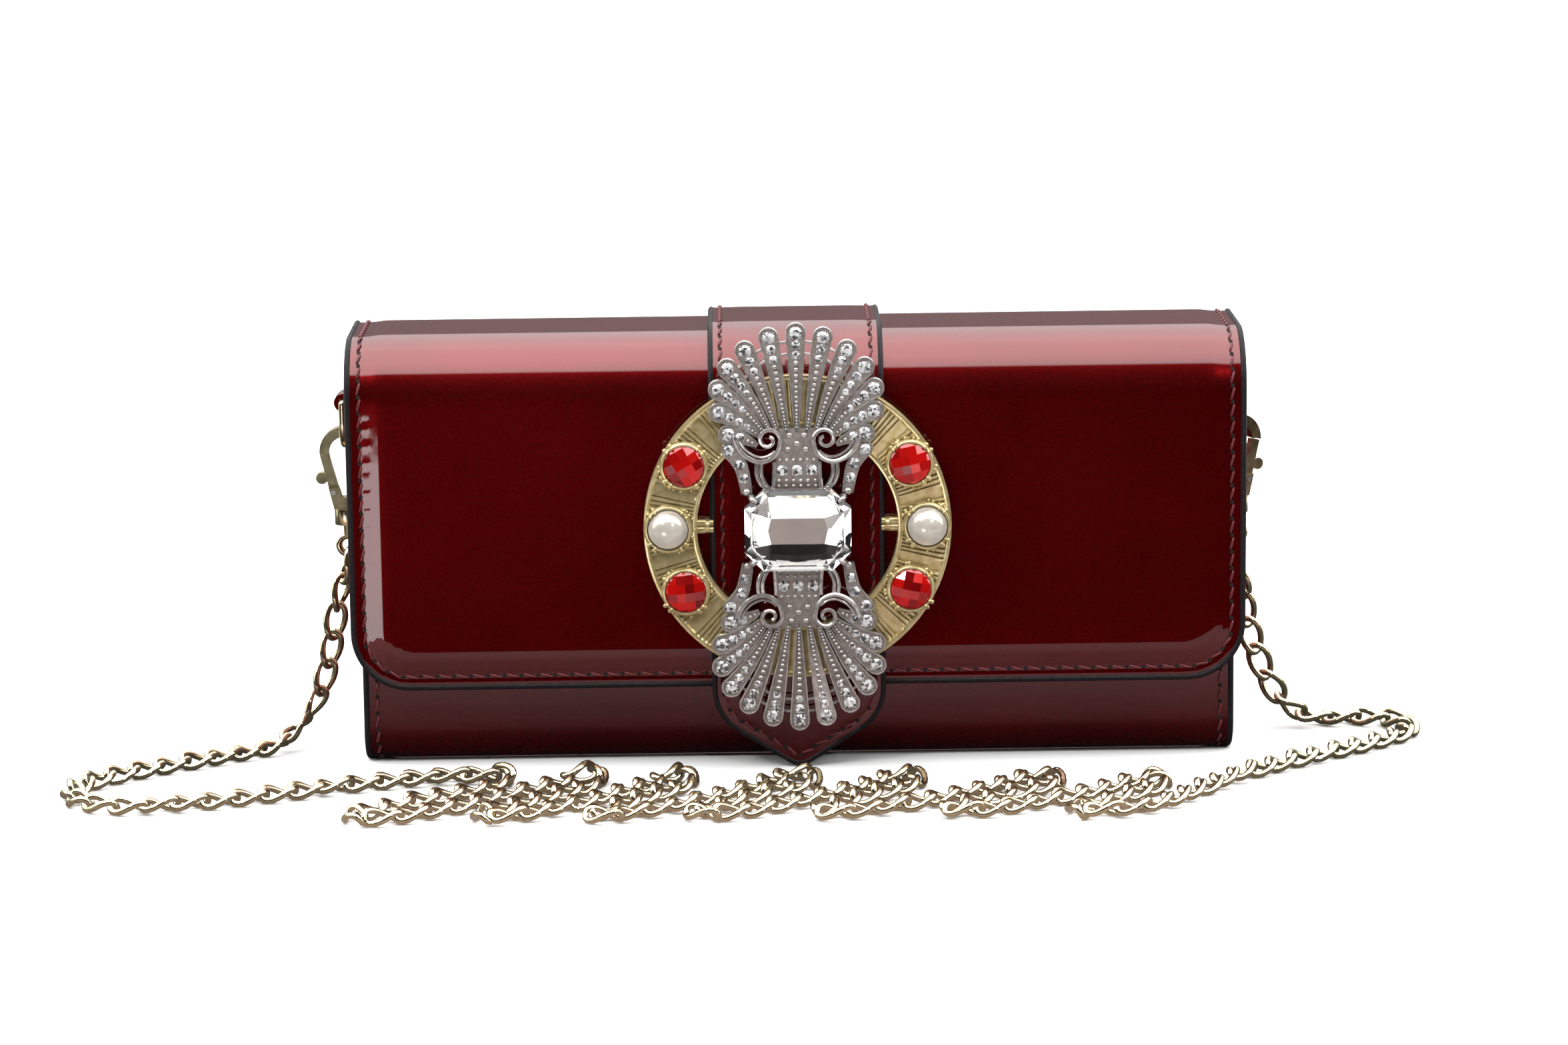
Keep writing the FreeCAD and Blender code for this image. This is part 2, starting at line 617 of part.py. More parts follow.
def make_ornament():
    depth = RING_FACE_NOW
    thick = size("ornament_thick")
    tip, root = size("petal_tip_radius"), size("petal_root_radius")
    pieces = []
    for start, end in PETALS:
        for x, up, side, flip in mirrored([start]):
            pieces.append(taper((x, up), tip, (end[0] * side, end[1] * flip), root, depth, thick))
    for x, up, _, _ in mirrored([SCROLL[0]]):
        pieces.append(disc_shape(x, up, SCROLL[1], depth, thick))
    for start, end in zip(ARM, ARM[1:]):
        for x, up, side, flip in mirrored([start]):
            pieces.append(taper((x, up), ARM_RADIUS, (end[0] * side, end[1] * flip), ARM_RADIUS * 0.9,
                                depth, thick))
    right = [(x, up) for x, up in COLLAR]
    outline = right + [(x, -up) for x, up in reversed(right)]
    outline += [(-x, -up) for x, up in right] + [(-x, up) for x, up in reversed(right)]
    pieces.append(prism(outline, depth, thick))
    half_width, half_height = size("crystal_width") / 2, size("crystal_height") / 2
    seat = [(half_width - 1, half_height - 1), (half_width - 1, 1 - half_height),
            (1 - half_width, 1 - half_height), (1 - half_width, half_height - 1)]
    pieces.append(prism(seat, depth, thick))
    node(shaped("shell_ornament", pieces[0].multiFuse(pieces[1:]).removeSplitter()))

    stones = []
    for start, end in PETALS:
        run = math.hypot(end[0] - start[0], end[1] - start[1])
        for back, radius in PETAL_STONES:
            share = back / run
            spot = (start[0] + (end[0] - start[0]) * share, start[1] + (end[1] - start[1]) * share)
            for x, up, _, _ in mirrored([spot]):
                stones.append(disc_shape(x, up, radius, ORNAMENT_FACE_NOW, STONE_PROUD))
    for x, up, _, _ in mirrored(ARM[:3]):
        stones.append(disc_shape(x, up, ARM_RADIUS * 0.7, ORNAMENT_FACE_NOW, STONE_PROUD))
    for x, up in COLLAR_STONES:
        for flip in (1, -1):
            stones.append(disc_shape(x, up * flip, 1.5, ORNAMENT_FACE_NOW, STONE_PROUD))
    node(shaped("rhinestones", Part.makeCompound(stones)))


def octagon(half_width, half_height, corner, depth):
    right = [(half_width - corner, half_height), (half_width, half_height - corner),
             (half_width, corner - half_height), (half_width - corner, -half_height)]
    outline = right + [(-x, up) for x, up in reversed(right)]
    return Part.makePolygon([on_face(x, up, depth) for x, up in outline + outline[:1]])


def make_crystal():
    half_width, half_height = size("crystal_width") / 2, size("crystal_height") / 2
    corner, rim = size("crystal_corner"), size("crystal_rim")
    back = ORNAMENT_FACE_NOW
    plate_wire = octagon(half_width, half_height, corner, back)
    plate_shape = Part.Face(plate_wire).extrude(FreeCAD.Vector(0, -rim, 0))
    node(shaped("crystal_setting", plate_shape))
    foot = back + rim
    thick = size("crystal_thick")
    wires = [
        octagon(half_width * 0.8, half_height * 0.78, corner * 0.8, foot),
        octagon(half_width, half_height, corner, foot + 0.38 * thick),
        octagon(half_width * 0.66, half_height * 0.6, corner * 0.66, foot + thick),
    ]
    node(shaped("centre_crystal", Part.makeLoft(wires, True, True)))


# ---------------------------------------------------------------- dee rings and clasps

def dee_x(side):
    """How far out the dee ring stands, counted from the gusset's face."""
    return size("body_width") / 2 - size("gusset_inset") + size(f"dee_{side}_reach")


def dee_bar_z():
    return size("flap_top_z") - size("dee_drop")


def dee_low_z():
    return dee_bar_z() - size("dee_height")


def make_dee(side, sign):
    """A dee ring that hangs flat against the side, its straight bar held in a leather loop."""
    x = sign * dee_x(side)
    wire, half = size("dee_wire") / 2, size("dee_half_width")
    bar_z, turn_z = dee_bar_z(), dee_low_z() + half
    along = FreeCAD.Vector(0, 1, 0)
    shape = Part.makeCylinder(wire, 2 * half, FreeCAD.Vector(x, -half, bar_z), along)
    for y in (-half, half):
        shape = shape.fuse(Part.makeCylinder(wire, bar_z - turn_z, FreeCAD.Vector(x, y, turn_z)))
        shape = shape.fuse(Part.makeSphere(wire, FreeCAD.Vector(x, y, bar_z)))
    bow = Part.makeTorus(half, wire, FreeCAD.Vector(), FreeCAD.Vector(0, 0, 1), -180, 180, 180)
    bow.Placement = FreeCAD.Placement(FreeCAD.Vector(x, 0, turn_z),
                                      FreeCAD.Rotation(along, FreeCAD.Vector(0, 0, -1),
                                                       FreeCAD.Vector(1, 0, 0), "XYZ"))
    node(shaped(f"dee_ring_{side}", shape.fuse(bow)))


def make_tab(side, sign):
    """A leather tab riveted to the gusset; it runs out and loops round the dee ring's bar."""
    wall = size("body_width") / 2 - size("gusset_inset")
    x = dee_x(side)
    half, thick = size("tab_width") / 2, size("tab_thick")
    bar_z = dee_bar_z()
    hole = size("dee_wire") / 2 + size("tab_fit")
    loop = hole + thick
    low = bar_z - size("tab_drop")

    def block(x0, x1, z0, z1):
        start = FreeCAD.Vector(min(sign * x0, sign * x1), -half, z0)
        return Part.makeBox(abs(x1 - x0), 2 * half, z1 - z0, start)

    def across(radius, at_x, at_z):
        return Part.makeCylinder(radius, 2 * half, FreeCAD.Vector(sign * at_x, -half, at_z),
                                 FreeCAD.Vector(0, 1, 0))

    shape = block(wall, wall + thick, low, bar_z + loop)
    shape = shape.fuse(block(wall, x, bar_z + hole, bar_z + loop))
    shape = shape.fuse(across(loop, x, bar_z)).cut(across(hole, x, bar_z))
    rivet = size("tab_rivet_diameter") / 2
    rivet_z = low + 0.4 * size("tab_drop")
    outward = FreeCAD.Vector(sign, 0, 0)

    def rivet_disc(radius, start, length):
        return Part.makeCylinder(radius, length, FreeCAD.Vector(sign * start, 0, rivet_z), outward)

    gusset = size("gusset_thick")
    through = rivet_disc(rivet / 2, wall - gusset, gusset + thick)
    node(shaped(f"ring_tab_{side}", shape.cut(rivet_disc(rivet / 2, wall - 1, thick + 2))))
    head = size("tab_rivet_head")
    body = through.fuse(rivet_disc(rivet, wall + thick, head))
    return body.fuse(rivet_disc(rivet, wall - gusset - head, head)), through


def teardrop(radius, centre_z, foot_half, foot_z):
    """The outline of a clasp's head: most of a circle drawn down into a narrow foot."""
    turn = math.radians(20)
    side = FreeCAD.Vector(radius * math.cos(turn), 0, centre_z - radius * math.sin(turn))
    mirror = FreeCAD.Vector(-side.x, 0, side.z)
    foot = [FreeCAD.Vector(-foot_half, 0, foot_z), FreeCAD.Vector(foot_half, 0, foot_z)]
    edges = [
        Part.Arc(side, FreeCAD.Vector(0, 0, centre_z + radius), mirror).toShape(),
        Part.LineSegment(mirror, foot[0]).toShape(),
        Part.LineSegment(*foot).toShape(),
        Part.LineSegment(foot[1], side).toShape(),
    ]
    return Part.Face(Part.Wire(edges))


def clasp_slab(face, thick):
    """A flat face on the clasp's middle plane, given its thickness to both sides."""
    slab = face.extrude(FreeCAD.Vector(0, thick, 0))
    slab.translate(FreeCAD.Vector(0, -thick / 2, 0))
    return slab


def make_clasp(side, sign, turned):
    """Lobster clasp: hook, sprung lever on a cross pin, and a swivel eye for the chain."""
    thick = size("clasp_thick")
    head = dee_low_z() - size("clasp_head_drop")
    neck = head - size("clasp_length")
    outer = teardrop(size("clasp_head_radius"), head, size("clasp_neck_radius"), neck)
    mouth = teardrop(size("clasp_mouth_radius"), head - 0.2, size("clasp_neck_radius") * 0.4, neck + 3)
    pin_u, pin_z = size("lever_pin_u"), neck + size("lever_pin_rise")
    reach, gap = size("lever_reach"), size("lever_gap")
    ear_top, slot_floor = pin_z + size("ear_reach"), pin_z - size("slot_depth")
    gate = Part.makeBox(9, thick + 2, reach + 2, FreeCAD.Vector(0.5, -thick / 2 - 1, ear_top))
    slot_half = size("lever_thick") / 2 + 0.15
    slot = Part.makeBox(9, 2 * slot_half, ear_top - slot_floor + 1,
                        FreeCAD.Vector(0.9, -slot_half, slot_floor))
    pin_radius = size("lever_pin_diameter") / 2
    across = FreeCAD.Vector(0, 1, 0)

    def cross(radius, reach):
        return Part.makeCylinder(radius, 2 * reach, FreeCAD.Vector(pin_u, -reach, pin_z), across)

    gate = gate.common(cross(reach + gap, thick))
    barrel = size("clasp_barrel_length")
    foot = FreeCAD.Vector(0, 0, neck - barrel)
    stud, head = size("swivel_stud_diameter") / 2, size("swivel_head_diameter") / 2
    fit = size("swivel_fit")
    head_low, head_thick = neck - barrel + 1.8, 1.2
    hook = clasp_slab(outer, thick).fuse(Part.makeCylinder(size("clasp_neck_radius"), barrel, foot))
    for tool in (clasp_slab(mouth, thick + 2), gate, slot, cross(pin_radius, thick),
                 Part.makeCylinder(stud + fit, barrel, foot - FreeCAD.Vector(0, 0, 1)),
                 Part.makeCylinder(head + fit, head_thick + 2 * fit,
                                   FreeCAD.Vector(0, 0, head_low - fit))):
        hook = hook.cut(tool)

    lever_thick, heel_z = size("lever_thick"), pin_z - size("heel_reach")
    arm = clasp_slab(outer, lever_thick).cut(clasp_slab(mouth, lever_thick + 2))
    window = Part.makeBox(9, thick, reach + 2, FreeCAD.Vector(1.9, -thick / 2, heel_z))
    arm = arm.common(window).common(cross(reach, thick))
    knob_at = FreeCAD.Vector(size("clasp_head_radius") - 0.4, -lever_thick / 2, pin_z + 3.6)
    arm = arm.fuse(Part.makeCylinder(1.5, lever_thick, knob_at, across))
    lever = arm.cut(cross(pin_radius + 0.1, thick)).cut(clasp_slab(mouth, lever_thick + 2))

    spring_foot = FreeCAD.Vector(pin_u, 0, slot_floor)
    spring = Part.makeCylinder(0.45, heel_z - slot_floor, spring_foot)

    eye_z, eye_radius, eye_wire = neck - size("eye_drop"), size("eye_radius"), size("eye_wire") / 2
    eye = Part.makeTorus(eye_radius, eye_wire, FreeCAD.Vector(0, 0, eye_z), across)
    eye_top = eye_z + eye_radius
    post = Part.makeCylinder(stud, head_low + 0.2 - eye_top, FreeCAD.Vector(0, 0, eye_top))
    cap = Part.makeCylinder(head, head_thick, FreeCAD.Vector(0, 0, head_low))
    swivel = eye.fuse(post).fuse(cap)

    shapes = {"hook": hook, "lever": lever, "pin": cross(pin_radius, thick / 2), "spring": spring,
              "swivel": swivel}
    if sign < 0:
        flip = FreeCAD.Vector(1, 0, 0)
        shapes = {name: shape.mirror(FreeCAD.Vector(), flip) for name, shape in shapes.items()}
    for name, shape in shapes.items():
        item = node(shaped(f"clasp_{side}_{name}", shape))
        spin = FreeCAD.Rotation(FreeCAD.Vector(0, 0, 1), turned if name != "swivel" else 0)
        item.Placement = FreeCAD.Placement(FreeCAD.Vector(sign * dee_x(side), 0, 0), spin)


# ---------------------------------------------------------------- chain

# Where the chain lies, from the left clasp's eye to the folds and from the folds to the right one.
ON_FLOOR = size("chain_diameter") / 2
CHAIN_LEFT = [
    (-112.6, 0.0, 48.3), (-113.4, -0.3, 36.0), (-116.6, -1.2, 23.0), (-122.0, -3.5, 11.0),
    (-131.0, -8.5, ON_FLOOR), (-147.0, -21.0, ON_FLOOR), (-164.0, -33.0, ON_FLOOR),
    (-177.0, -47.0, ON_FLOOR), (-176.0, -62.0, ON_FLOOR), (-162.0, -70.0, ON_FLOOR),
    (-144.0, -65.0, ON_FLOOR), (-124.0, -57.0, ON_FLOOR), (-104.0, -47.0, ON_FLOOR),
    (-85.0, -42.5, ON_FLOOR),
]
CHAIN_RIGHT = [
    (73.0, -85.0, ON_FLOOR), (86.0, -79.0, ON_FLOOR), (98.0, -62.0, ON_FLOOR),
    (113.0, -45.0, ON_FLOOR), (131.0, -31.0, ON_FLOOR), (147.0, -18.0, ON_FLOOR),
    (155.0, -8.0, ON_FLOOR), (152.0, 3.0, ON_FLOOR), (140.0, 6.0, ON_FLOOR),
    (129.0, 3.5, 3.6), (121.0, 1.2, 10.0), (115.5, 0.4, 22.0), (112.2, 0.1, 35.5),
    (110.6, 0.0, 48.3),
]
# The folds lie side by side on the floor in front of the purse; this is the outline they cover.
CHAIN_FOLDS = [(-117.0, -89.0), (-80.0, -36.0), (94.0, -48.0), (76.0, -90.0)]


def cord_path(points):
    """Straight runs joined by tangent arcs, each as large as its two runs allow."""
    spots = [FreeCAD.Vector(*point) for point in points]
    edges = []
    here = spots[0]
    radii = []
    for before, corner, after in zip(spots, spots[1:], spots[2:]):
        run_in, run_out = corner - before, after - corner
        turn = run_in.getAngle(run_out)
        reach = 0.45 * min(run_in.Length, run_out.Length)
        radii.append(reach / math.tan(turn / 2))
        arc_start = corner - run_in.normalize() * reach
        arc_end = corner + run_out.normalize() * reach
        bow = (run_out - run_in).normalize()
        middle = corner + bow * radii[-1] * (1 / math.cos(turn / 2) - 1)
        edges.append(Part.LineSegment(here, arc_start).toShape())
        edges.append(Part.Arc(arc_start, middle, arc_end).toShape())
        here = arc_end
    edges.append(Part.LineSegment(here, spots[-1]).toShape())
    return Part.Wire(edges), radii


def make_chain(label, points):
    path, radii = cord_path(points)
    radius = size("chain_diameter") / 2
    start = FreeCAD.Vector(*points[0])
    along = FreeCAD.Vector(*points[1]) - start
    profile = Part.Wire([Part.makeCircle(radius, start, along)])
    tube = path.makePipeShell([profile], True, False)
    run = node(shaped(label, tube))
    print(label, "arc radii", [round(value, 1) for value in radii], "length", round(path.Length, 1),
          "volume ratio", round(tube.Volume / (math.pi * radius ** 2 * path.Length), 4))
    return run


def make_folds(*runs):
    """The zigzagged stretch as one flat slab, cut back to the runs that go into it."""
    corners = [(str(x), str(y)) for x, y in CHAIN_FOLDS]
    slab = plate("chain_folds_blank", "xy", corners, "0", "chain_diameter", [([0, 1, 2, 3], "6")])
    node(boolean("cut", "chain_folds", slab, *runs))


# ---------------------------------------------------------------- build, check and write

make_body()
make_gusset("left", -1)
make_gusset("right", 1)
make_pocket()
make_flap()
make_strap()
make_snap()
make_ring()
make_stones()
make_ornament()
make_crystal()
tab_rivets = []
for tab_side, tab_sign, clasp_turn in (("left", -1, 0.0), ("right", 1, size("clasp_right_turn"))):
    make_dee(tab_side, tab_sign)
    rivet_shape, rivet_shank = make_tab(tab_side, tab_sign)
    tab_rivets.append(rivet_shape)
    make_clasp(tab_side, tab_sign, clasp_turn)
    gusset = next(item for item in NODES if item.Label == f"gusset_{tab_side}")
    NODES.remove(gusset)
    gusset.Label = f"gusset_{tab_side}_blank"
    shank = shaped(f"gusset_{tab_side}_rivet_hole", rivet_shank)
    node(boolean("cut", f"gusset_{tab_side}", gusset, shank)).Label = f"gusset_{tab_side}"
node(shaped("tab_rivets", Part.makeCompound(tab_rivets)))
make_folds(make_chain("chain_left", CHAIN_LEFT), make_chain("chain_right", CHAIN_RIGHT))

doc.recompute()
for item in doc.Objects:
    if "Invalid" in item.State or "Error" in item.State:
        raise RuntimeError(f"{item.Label} failed: {item.State}")
for item in NODES:
    if item.Shape.isNull() or not item.Shape.isValid() or not item.Shape.Solids:
        raise RuntimeError(f"{item.Label} has no valid solid")

os.makedirs("parts", exist_ok=True)
for item in NODES:
    item.Shape.exportStep(f"parts/{item.Label}.step")
print(len(NODES), "sub-parts written")
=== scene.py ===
import bpy
import bmesh
import math
import random
from mathutils import Matrix, Vector


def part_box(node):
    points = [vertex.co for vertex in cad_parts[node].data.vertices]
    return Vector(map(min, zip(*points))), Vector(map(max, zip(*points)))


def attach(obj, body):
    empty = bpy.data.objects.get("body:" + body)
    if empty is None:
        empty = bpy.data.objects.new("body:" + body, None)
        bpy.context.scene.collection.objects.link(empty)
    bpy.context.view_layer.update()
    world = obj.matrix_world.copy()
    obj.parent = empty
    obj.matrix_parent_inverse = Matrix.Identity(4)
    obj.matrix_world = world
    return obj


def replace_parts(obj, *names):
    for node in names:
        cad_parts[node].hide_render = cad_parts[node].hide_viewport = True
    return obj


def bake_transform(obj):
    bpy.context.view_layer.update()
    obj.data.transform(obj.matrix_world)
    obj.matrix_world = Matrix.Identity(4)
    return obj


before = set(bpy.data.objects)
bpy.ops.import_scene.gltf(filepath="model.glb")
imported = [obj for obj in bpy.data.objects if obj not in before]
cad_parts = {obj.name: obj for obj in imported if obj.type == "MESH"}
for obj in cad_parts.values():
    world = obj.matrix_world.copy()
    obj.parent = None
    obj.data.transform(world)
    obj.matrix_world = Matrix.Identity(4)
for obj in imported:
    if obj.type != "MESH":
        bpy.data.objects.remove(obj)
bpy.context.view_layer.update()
MM = 0.001

# ------------------------------------------------------------------ camera
# A long lens a little over a metre away looks slightly down at the front of the purse,
# and is tipped by less than a degree.

aim = Vector((-0.003, 0.0, 0.0557))
camera_distance = 1.2
elevation, azimuth, roll = (math.radians(angle) for angle in (11.0, 0.56, -0.70))
looking = Vector((math.sin(azimuth) * math.cos(elevation),
                  math.cos(azimuth) * math.cos(elevation), -math.sin(elevation)))
level = Vector((math.cos(azimuth), -math.sin(azimuth), 0.0))
upright = level.cross(looking)
right = level * math.cos(roll) + upright * math.sin(roll)
above = upright * math.cos(roll) - level * math.sin(roll)
camera = bpy.data.objects.new("camera", bpy.data.cameras.new("camera"))
camera.data.lens = 109.5
camera.data.sensor_width = 36.0
camera.data.clip_end = 50.0
camera.matrix_world = Matrix.Translation(aim - looking * camera_distance) @ Matrix(
    (right, above, -looking)).transposed().to_4x4()
bpy.context.collection.objects.link(camera)
bpy.context.scene.camera = camera
bpy.context.scene.view_settings.view_transform = "Standard"

# ------------------------------------------------------------------ floor and studio light
# A pale tabletop under one broad overhead softbox that reaches from in front of the purse over
# its top to the back, with a narrow tall softbox at one side. Reflections don't show the
# tabletop: a dim glowing card that only they show takes its place, and the front is left dark.
# The card's glow is a painted reflection of the table, with a painted shadow of the purse close
# to it and a red tint of painted bounce light from the purse.


def finish_material(name, colour, **settings):
    """A material whose shader has the given colour and socket values."""
    material = bpy.data.materials.new(name)
    material.use_nodes = True
    shader = material.node_tree.nodes["Principled BSDF"]
    shader.inputs["Base Color"].default_value = (*colour, 1.0)
    for socket, value in settings.items():
        shader.inputs[socket.replace("_", " ")].default_value = value
    return material


def add_node(material, kind, links=(), **values):
    """A shader node; links is pairs of input name and the output that feeds it."""
    tree = material.node_tree
    made = tree.nodes.new(kind)
    for key, value in values.items():
        if hasattr(made, key):
            setattr(made, key, value)
        else:
            made.inputs[key.replace("_", " ")].default_value = value
    for socket, source in links:
        tree.links.new(source, made.inputs[socket])
    return made


def feed(material, socket, source):
    shader = material.node_tree.nodes["Principled BSDF"]
    material.node_tree.links.new(source, shader.inputs[socket])


def object_noise(material, scale, detail=2.0, roughness=0.5):
    """Fractal noise over the piece, scale in features per metre."""
    place = add_node(material, "ShaderNodeTexCoord").outputs["Object"]
    return add_node(material, "ShaderNodeTexNoise", [("Vector", place)],
                    Scale=scale, Detail=detail, Roughness=roughness).outputs["Fac"]


def two_tone(material, factor, dark, light, low=0.3, high=0.7):
    """Base colour that runs from dark to light as the factor goes from low to high."""
    ramp = add_node(material, "ShaderNodeValToRGB", [("Fac", factor)])
    ramp.color_ramp.elements[0].position, ramp.color_ramp.elements[1].position = low, high
    ramp.color_ramp.elements[0].color = (*dark, 1.0)
    ramp.color_ramp.elements[1].color = (*light, 1.0)
    feed(material, "Base Color", ramp.outputs["Color"])


def rough_spread(material, factor, low, high):
    spread = add_node(material, "ShaderNodeMapRange", [("Value", factor)], To_Min=low, To_Max=high)
    feed(material, "Roughness", spread.outputs["Result"])


def bump(material, height, depth, strength=1.0):
    """Bump of the given real depth in metres."""
    made = add_node(material, "ShaderNodeBump", [("Height", height)], Strength=strength, Distance=depth)
    feed(material, "Normal", made.outputs["Normal"])


def flat_stage(name, outer, hole=None):
    """A level patch of floor from two corners, with a hole from two corners."""
    def corners(low, high):
        return [(low[0], low[1], 0), (high[0], low[1], 0), (high[0], high[1], 0), (low[0], high[1], 0)]

    verts, faces = corners(*outer), [(0, 1, 2, 3)]
    if hole:
        verts += corners(*hole)
        faces = [(side, (side + 1) % 4, 4 + (side + 1) % 4, 4 + side) for side in range(4)]
    mesh = bpy.data.meshes.new(name)
    mesh.from_pydata(verts, [], faces)
    made = bpy.data.objects.new(name, mesh)
    bpy.context.collection.objects.link(made)
    return made


near_floor = ((-0.5, -0.157), (0.5, 0.25))
tabletop = flat_stage("tabletop", ((-5.0, -5.0), (5.0, 5.0)), near_floor)
tabletop_near = flat_stage("tabletop_near", near_floor)
floor_paint = finish_material("tabletop_white", (0.72, 0.72, 0.72), Roughness=0.9)
two_tone(floor_paint, object_noise(floor_paint, 3.0), (0.71, 0.71, 0.71), (0.73, 0.73, 0.73))
for patch in (tabletop, tabletop_near):
    patch.data.materials.append(floor_paint)
    patch.visible_glossy = False
painted_floor_reflection = flat_stage("painted_floor_reflection", near_floor)
painted_floor_reflection.location.z = 0.2 * MM
painted_reflection_paint = finish_material("tabletop_painted_reflection", (0.0, 0.0, 0.0), Roughness=1.0, Emission_Strength=1.0)
# Painted reflection: the card's glow is a painted shadow near the purse that brightens away from it, and it
# is redder than green and blue as painted red bounce light from the purse.
painted_shadow_deepest_y, painted_shadow_gone_y = -0.035, -0.12
sheen_place = add_node(painted_reflection_paint, "ShaderNodeTexCoord").outputs["Object"]
sheen_y = add_node(painted_reflection_paint, "ShaderNodeSeparateXYZ", [("Vector", sheen_place)]).outputs["Y"]
shadow_and_bounce_red, shadow_green_blue = (
    add_node(painted_reflection_paint, "ShaderNodeMapRange", [("Value", sheen_y)], From_Min=painted_shadow_deepest_y,
             From_Max=painted_shadow_gone_y, To_Min=0.01, To_Max=most).outputs["Result"] for most in (0.60, 0.46))
feed(painted_reflection_paint, "Emission Color", add_node(painted_reflection_paint, "ShaderNodeCombineColor", [
    ("Red", shadow_and_bounce_red), ("Green", shadow_green_blue), ("Blue", shadow_green_blue)]).outputs["Color"])
painted_floor_reflection.data.materials.append(painted_reflection_paint)
painted_floor_reflection.visible_camera = painted_floor_reflection.visible_diffuse = False
painted_floor_reflection.visible_shadow = painted_floor_reflection.visible_transmission = False

sky = bpy.data.worlds.new("studio")
sky.use_nodes = True
sky_tree = sky.node_tree
bpy.context.scene.world = sky


def sky_math(operation, *values):
    made = sky_tree.nodes.new("ShaderNodeMath")
    made.operation = operation
    for index, value in enumerate(values):
        if isinstance(value, float):
            made.inputs[index].default_value = value
        else:
            sky_tree.links.new(value, made.inputs[index])
    return made.outputs[0]


def sky_step(value, low, high):
    """0 below low, 1 above high, smooth between."""
    made = sky_tree.nodes.new("ShaderNodeMapRange")
    made.interpolation_type = "SMOOTHSTEP"
    sky_tree.links.new(value, made.inputs["Value"])
    made.inputs["From Min"].default_value = low
    made.inputs["From Max"].default_value = high
    return made.outputs["Result"]


direction = sky_tree.nodes.new("ShaderNodeSeparateXYZ")
sky_tree.links.new(sky_tree.nodes.new("ShaderNodeTexCoord").outputs["Generated"], direction.inputs[0])
across, back, height = direction.outputs
toward = sky_math("MULTIPLY", back, -1.0)
overhead = sky_math("DIVIDE", sky_math("ARCTAN2", height, toward), math.pi)
softbox = sky_tree.nodes.new("ShaderNodeValToRGB")
softbox_stops = [(0.0, 0.01), (0.255, 0.02), (0.277, 3.9), (0.40, 4.4), (0.60, 4.2), (0.75, 2.7),
                 (0.85, 1.7), (0.915, 1.1), (0.93, 0.24), (1.0, 0.22)]
brightest = 5.0
while len(softbox.color_ramp.elements) < len(softbox_stops):
    softbox.color_ramp.elements.new(0.5)
for element, (place, level_here) in zip(softbox.color_ramp.elements, softbox_stops):
    element.position = place
    element.color = [level_here / brightest] * 3 + [1.0]
sky_tree.links.new(overhead, softbox.inputs["Fac"])
softbox_light = sky_math("MULTIPLY", softbox.outputs["Color"], brightest)
above_table = sky_math("MULTIPLY", sky_step(height, 0.0, 0.02), softbox_light)
below_table = sky_math("MULTIPLY", sky_step(height, -0.26, -0.34), sky_step(height, -0.85, -0.6))
below_table = sky_math("MAXIMUM", below_table, sky_step(back, 0.0, 0.3))
below_table = sky_math("MULTIPLY", below_table, sky_step(height, 0.02, 0.0))
tall_box_light = 4.4
bearing = sky_math("ARCTAN2", across, toward)
tall_box = sky_math("MULTIPLY", sky_step(bearing, math.radians(-34), math.radians(-32)),
                    sky_step(bearing, math.radians(-10.5), math.radians(-12.5)))
tall_box = sky_math("MULTIPLY", tall_box, sky_math("MULTIPLY", sky_step(height, -0.5, -0.45),
                                                  sky_step(height, -0.170, -0.178)))
side_light = sky_math("MULTIPLY", tall_box, tall_box_light)
light_here = sky_math("ADD", sky_math("ADD", above_table, below_table), side_light)
backdrop = sky_tree.nodes["Background"]
sky_tree.links.new(light_here, backdrop.inputs["Color"])
backdrop.inputs["Strength"].default_value = 1.0

for lamp_name, lamp_at, lamp_power, lamp_size in (("key_lamp", (-0.9, -1.1, 1.3), 9.0, 0.25),
                                                  ("spark_lamp", (0.7, -1.3, 0.9), 4.0, 0.08)):
    lamp = bpy.data.objects.new(lamp_name, bpy.data.lights.new(lamp_name, "AREA"))
    lamp.data.energy = lamp_power
    lamp.data.size = lamp_size
    lamp.location = lamp_at
    lamp.rotation_euler = (aim - Vector(lamp_at)).to_track_quat("-Z", "Y").to_euler()
    bpy.context.collection.objects.link(lamp)

# ------------------------------------------------------------------ chain
# The shoulder chain is one run of twisted oval curb links of pale gold plated wire. It hangs from
# the clasps at both ends and lies zigzagged in front of the purse on the table.

pale_gold = finish_material("pale_gold_plate", (0.80, 0.70, 0.46), Metallic=0.96, Roughness=0.1)
plate_marks = object_noise(pale_gold, 900.0, 3.0)
two_tone(pale_gold, plate_marks, (0.60, 0.50, 0.28), (0.76, 0.66, 0.42))
rough_spread(pale_gold, plate_marks, 0.05, 0.11)
bump(pale_gold, plate_marks, 0.000004)


def add_piece(name, verts, faces, material, body, slot, smooth=True, sharp=None):
    """A mesh piece in the given material; slot is not used. It is parented to an empty for its body,
    or, where the body is a fold given as both bodies and where the bend starts and ends, left
    unparented where it was built."""
    mesh = bpy.data.meshes.new(name)
    mesh.from_pydata([tuple(vert) for vert in verts], [], faces)
    mesh.validate()
    shape = bmesh.new()
    shape.from_mesh(mesh)
    bmesh.ops.recalc_face_normals(shape, faces=shape.faces)
    shape.to_mesh(mesh)
    shape.free()
    mesh.polygons.foreach_set("use_smooth", [smooth] * len(mesh.polygons))
    if sharp:
        mesh.set_sharp_from_angle(angle=math.radians(sharp))
    mesh.materials.append(material)
    made = bpy.data.objects.new(name, mesh)
    bpy.context.collection.objects.link(made)
    if isinstance(body, tuple):
        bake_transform(made)
    else:
        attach(made, body)
    return made


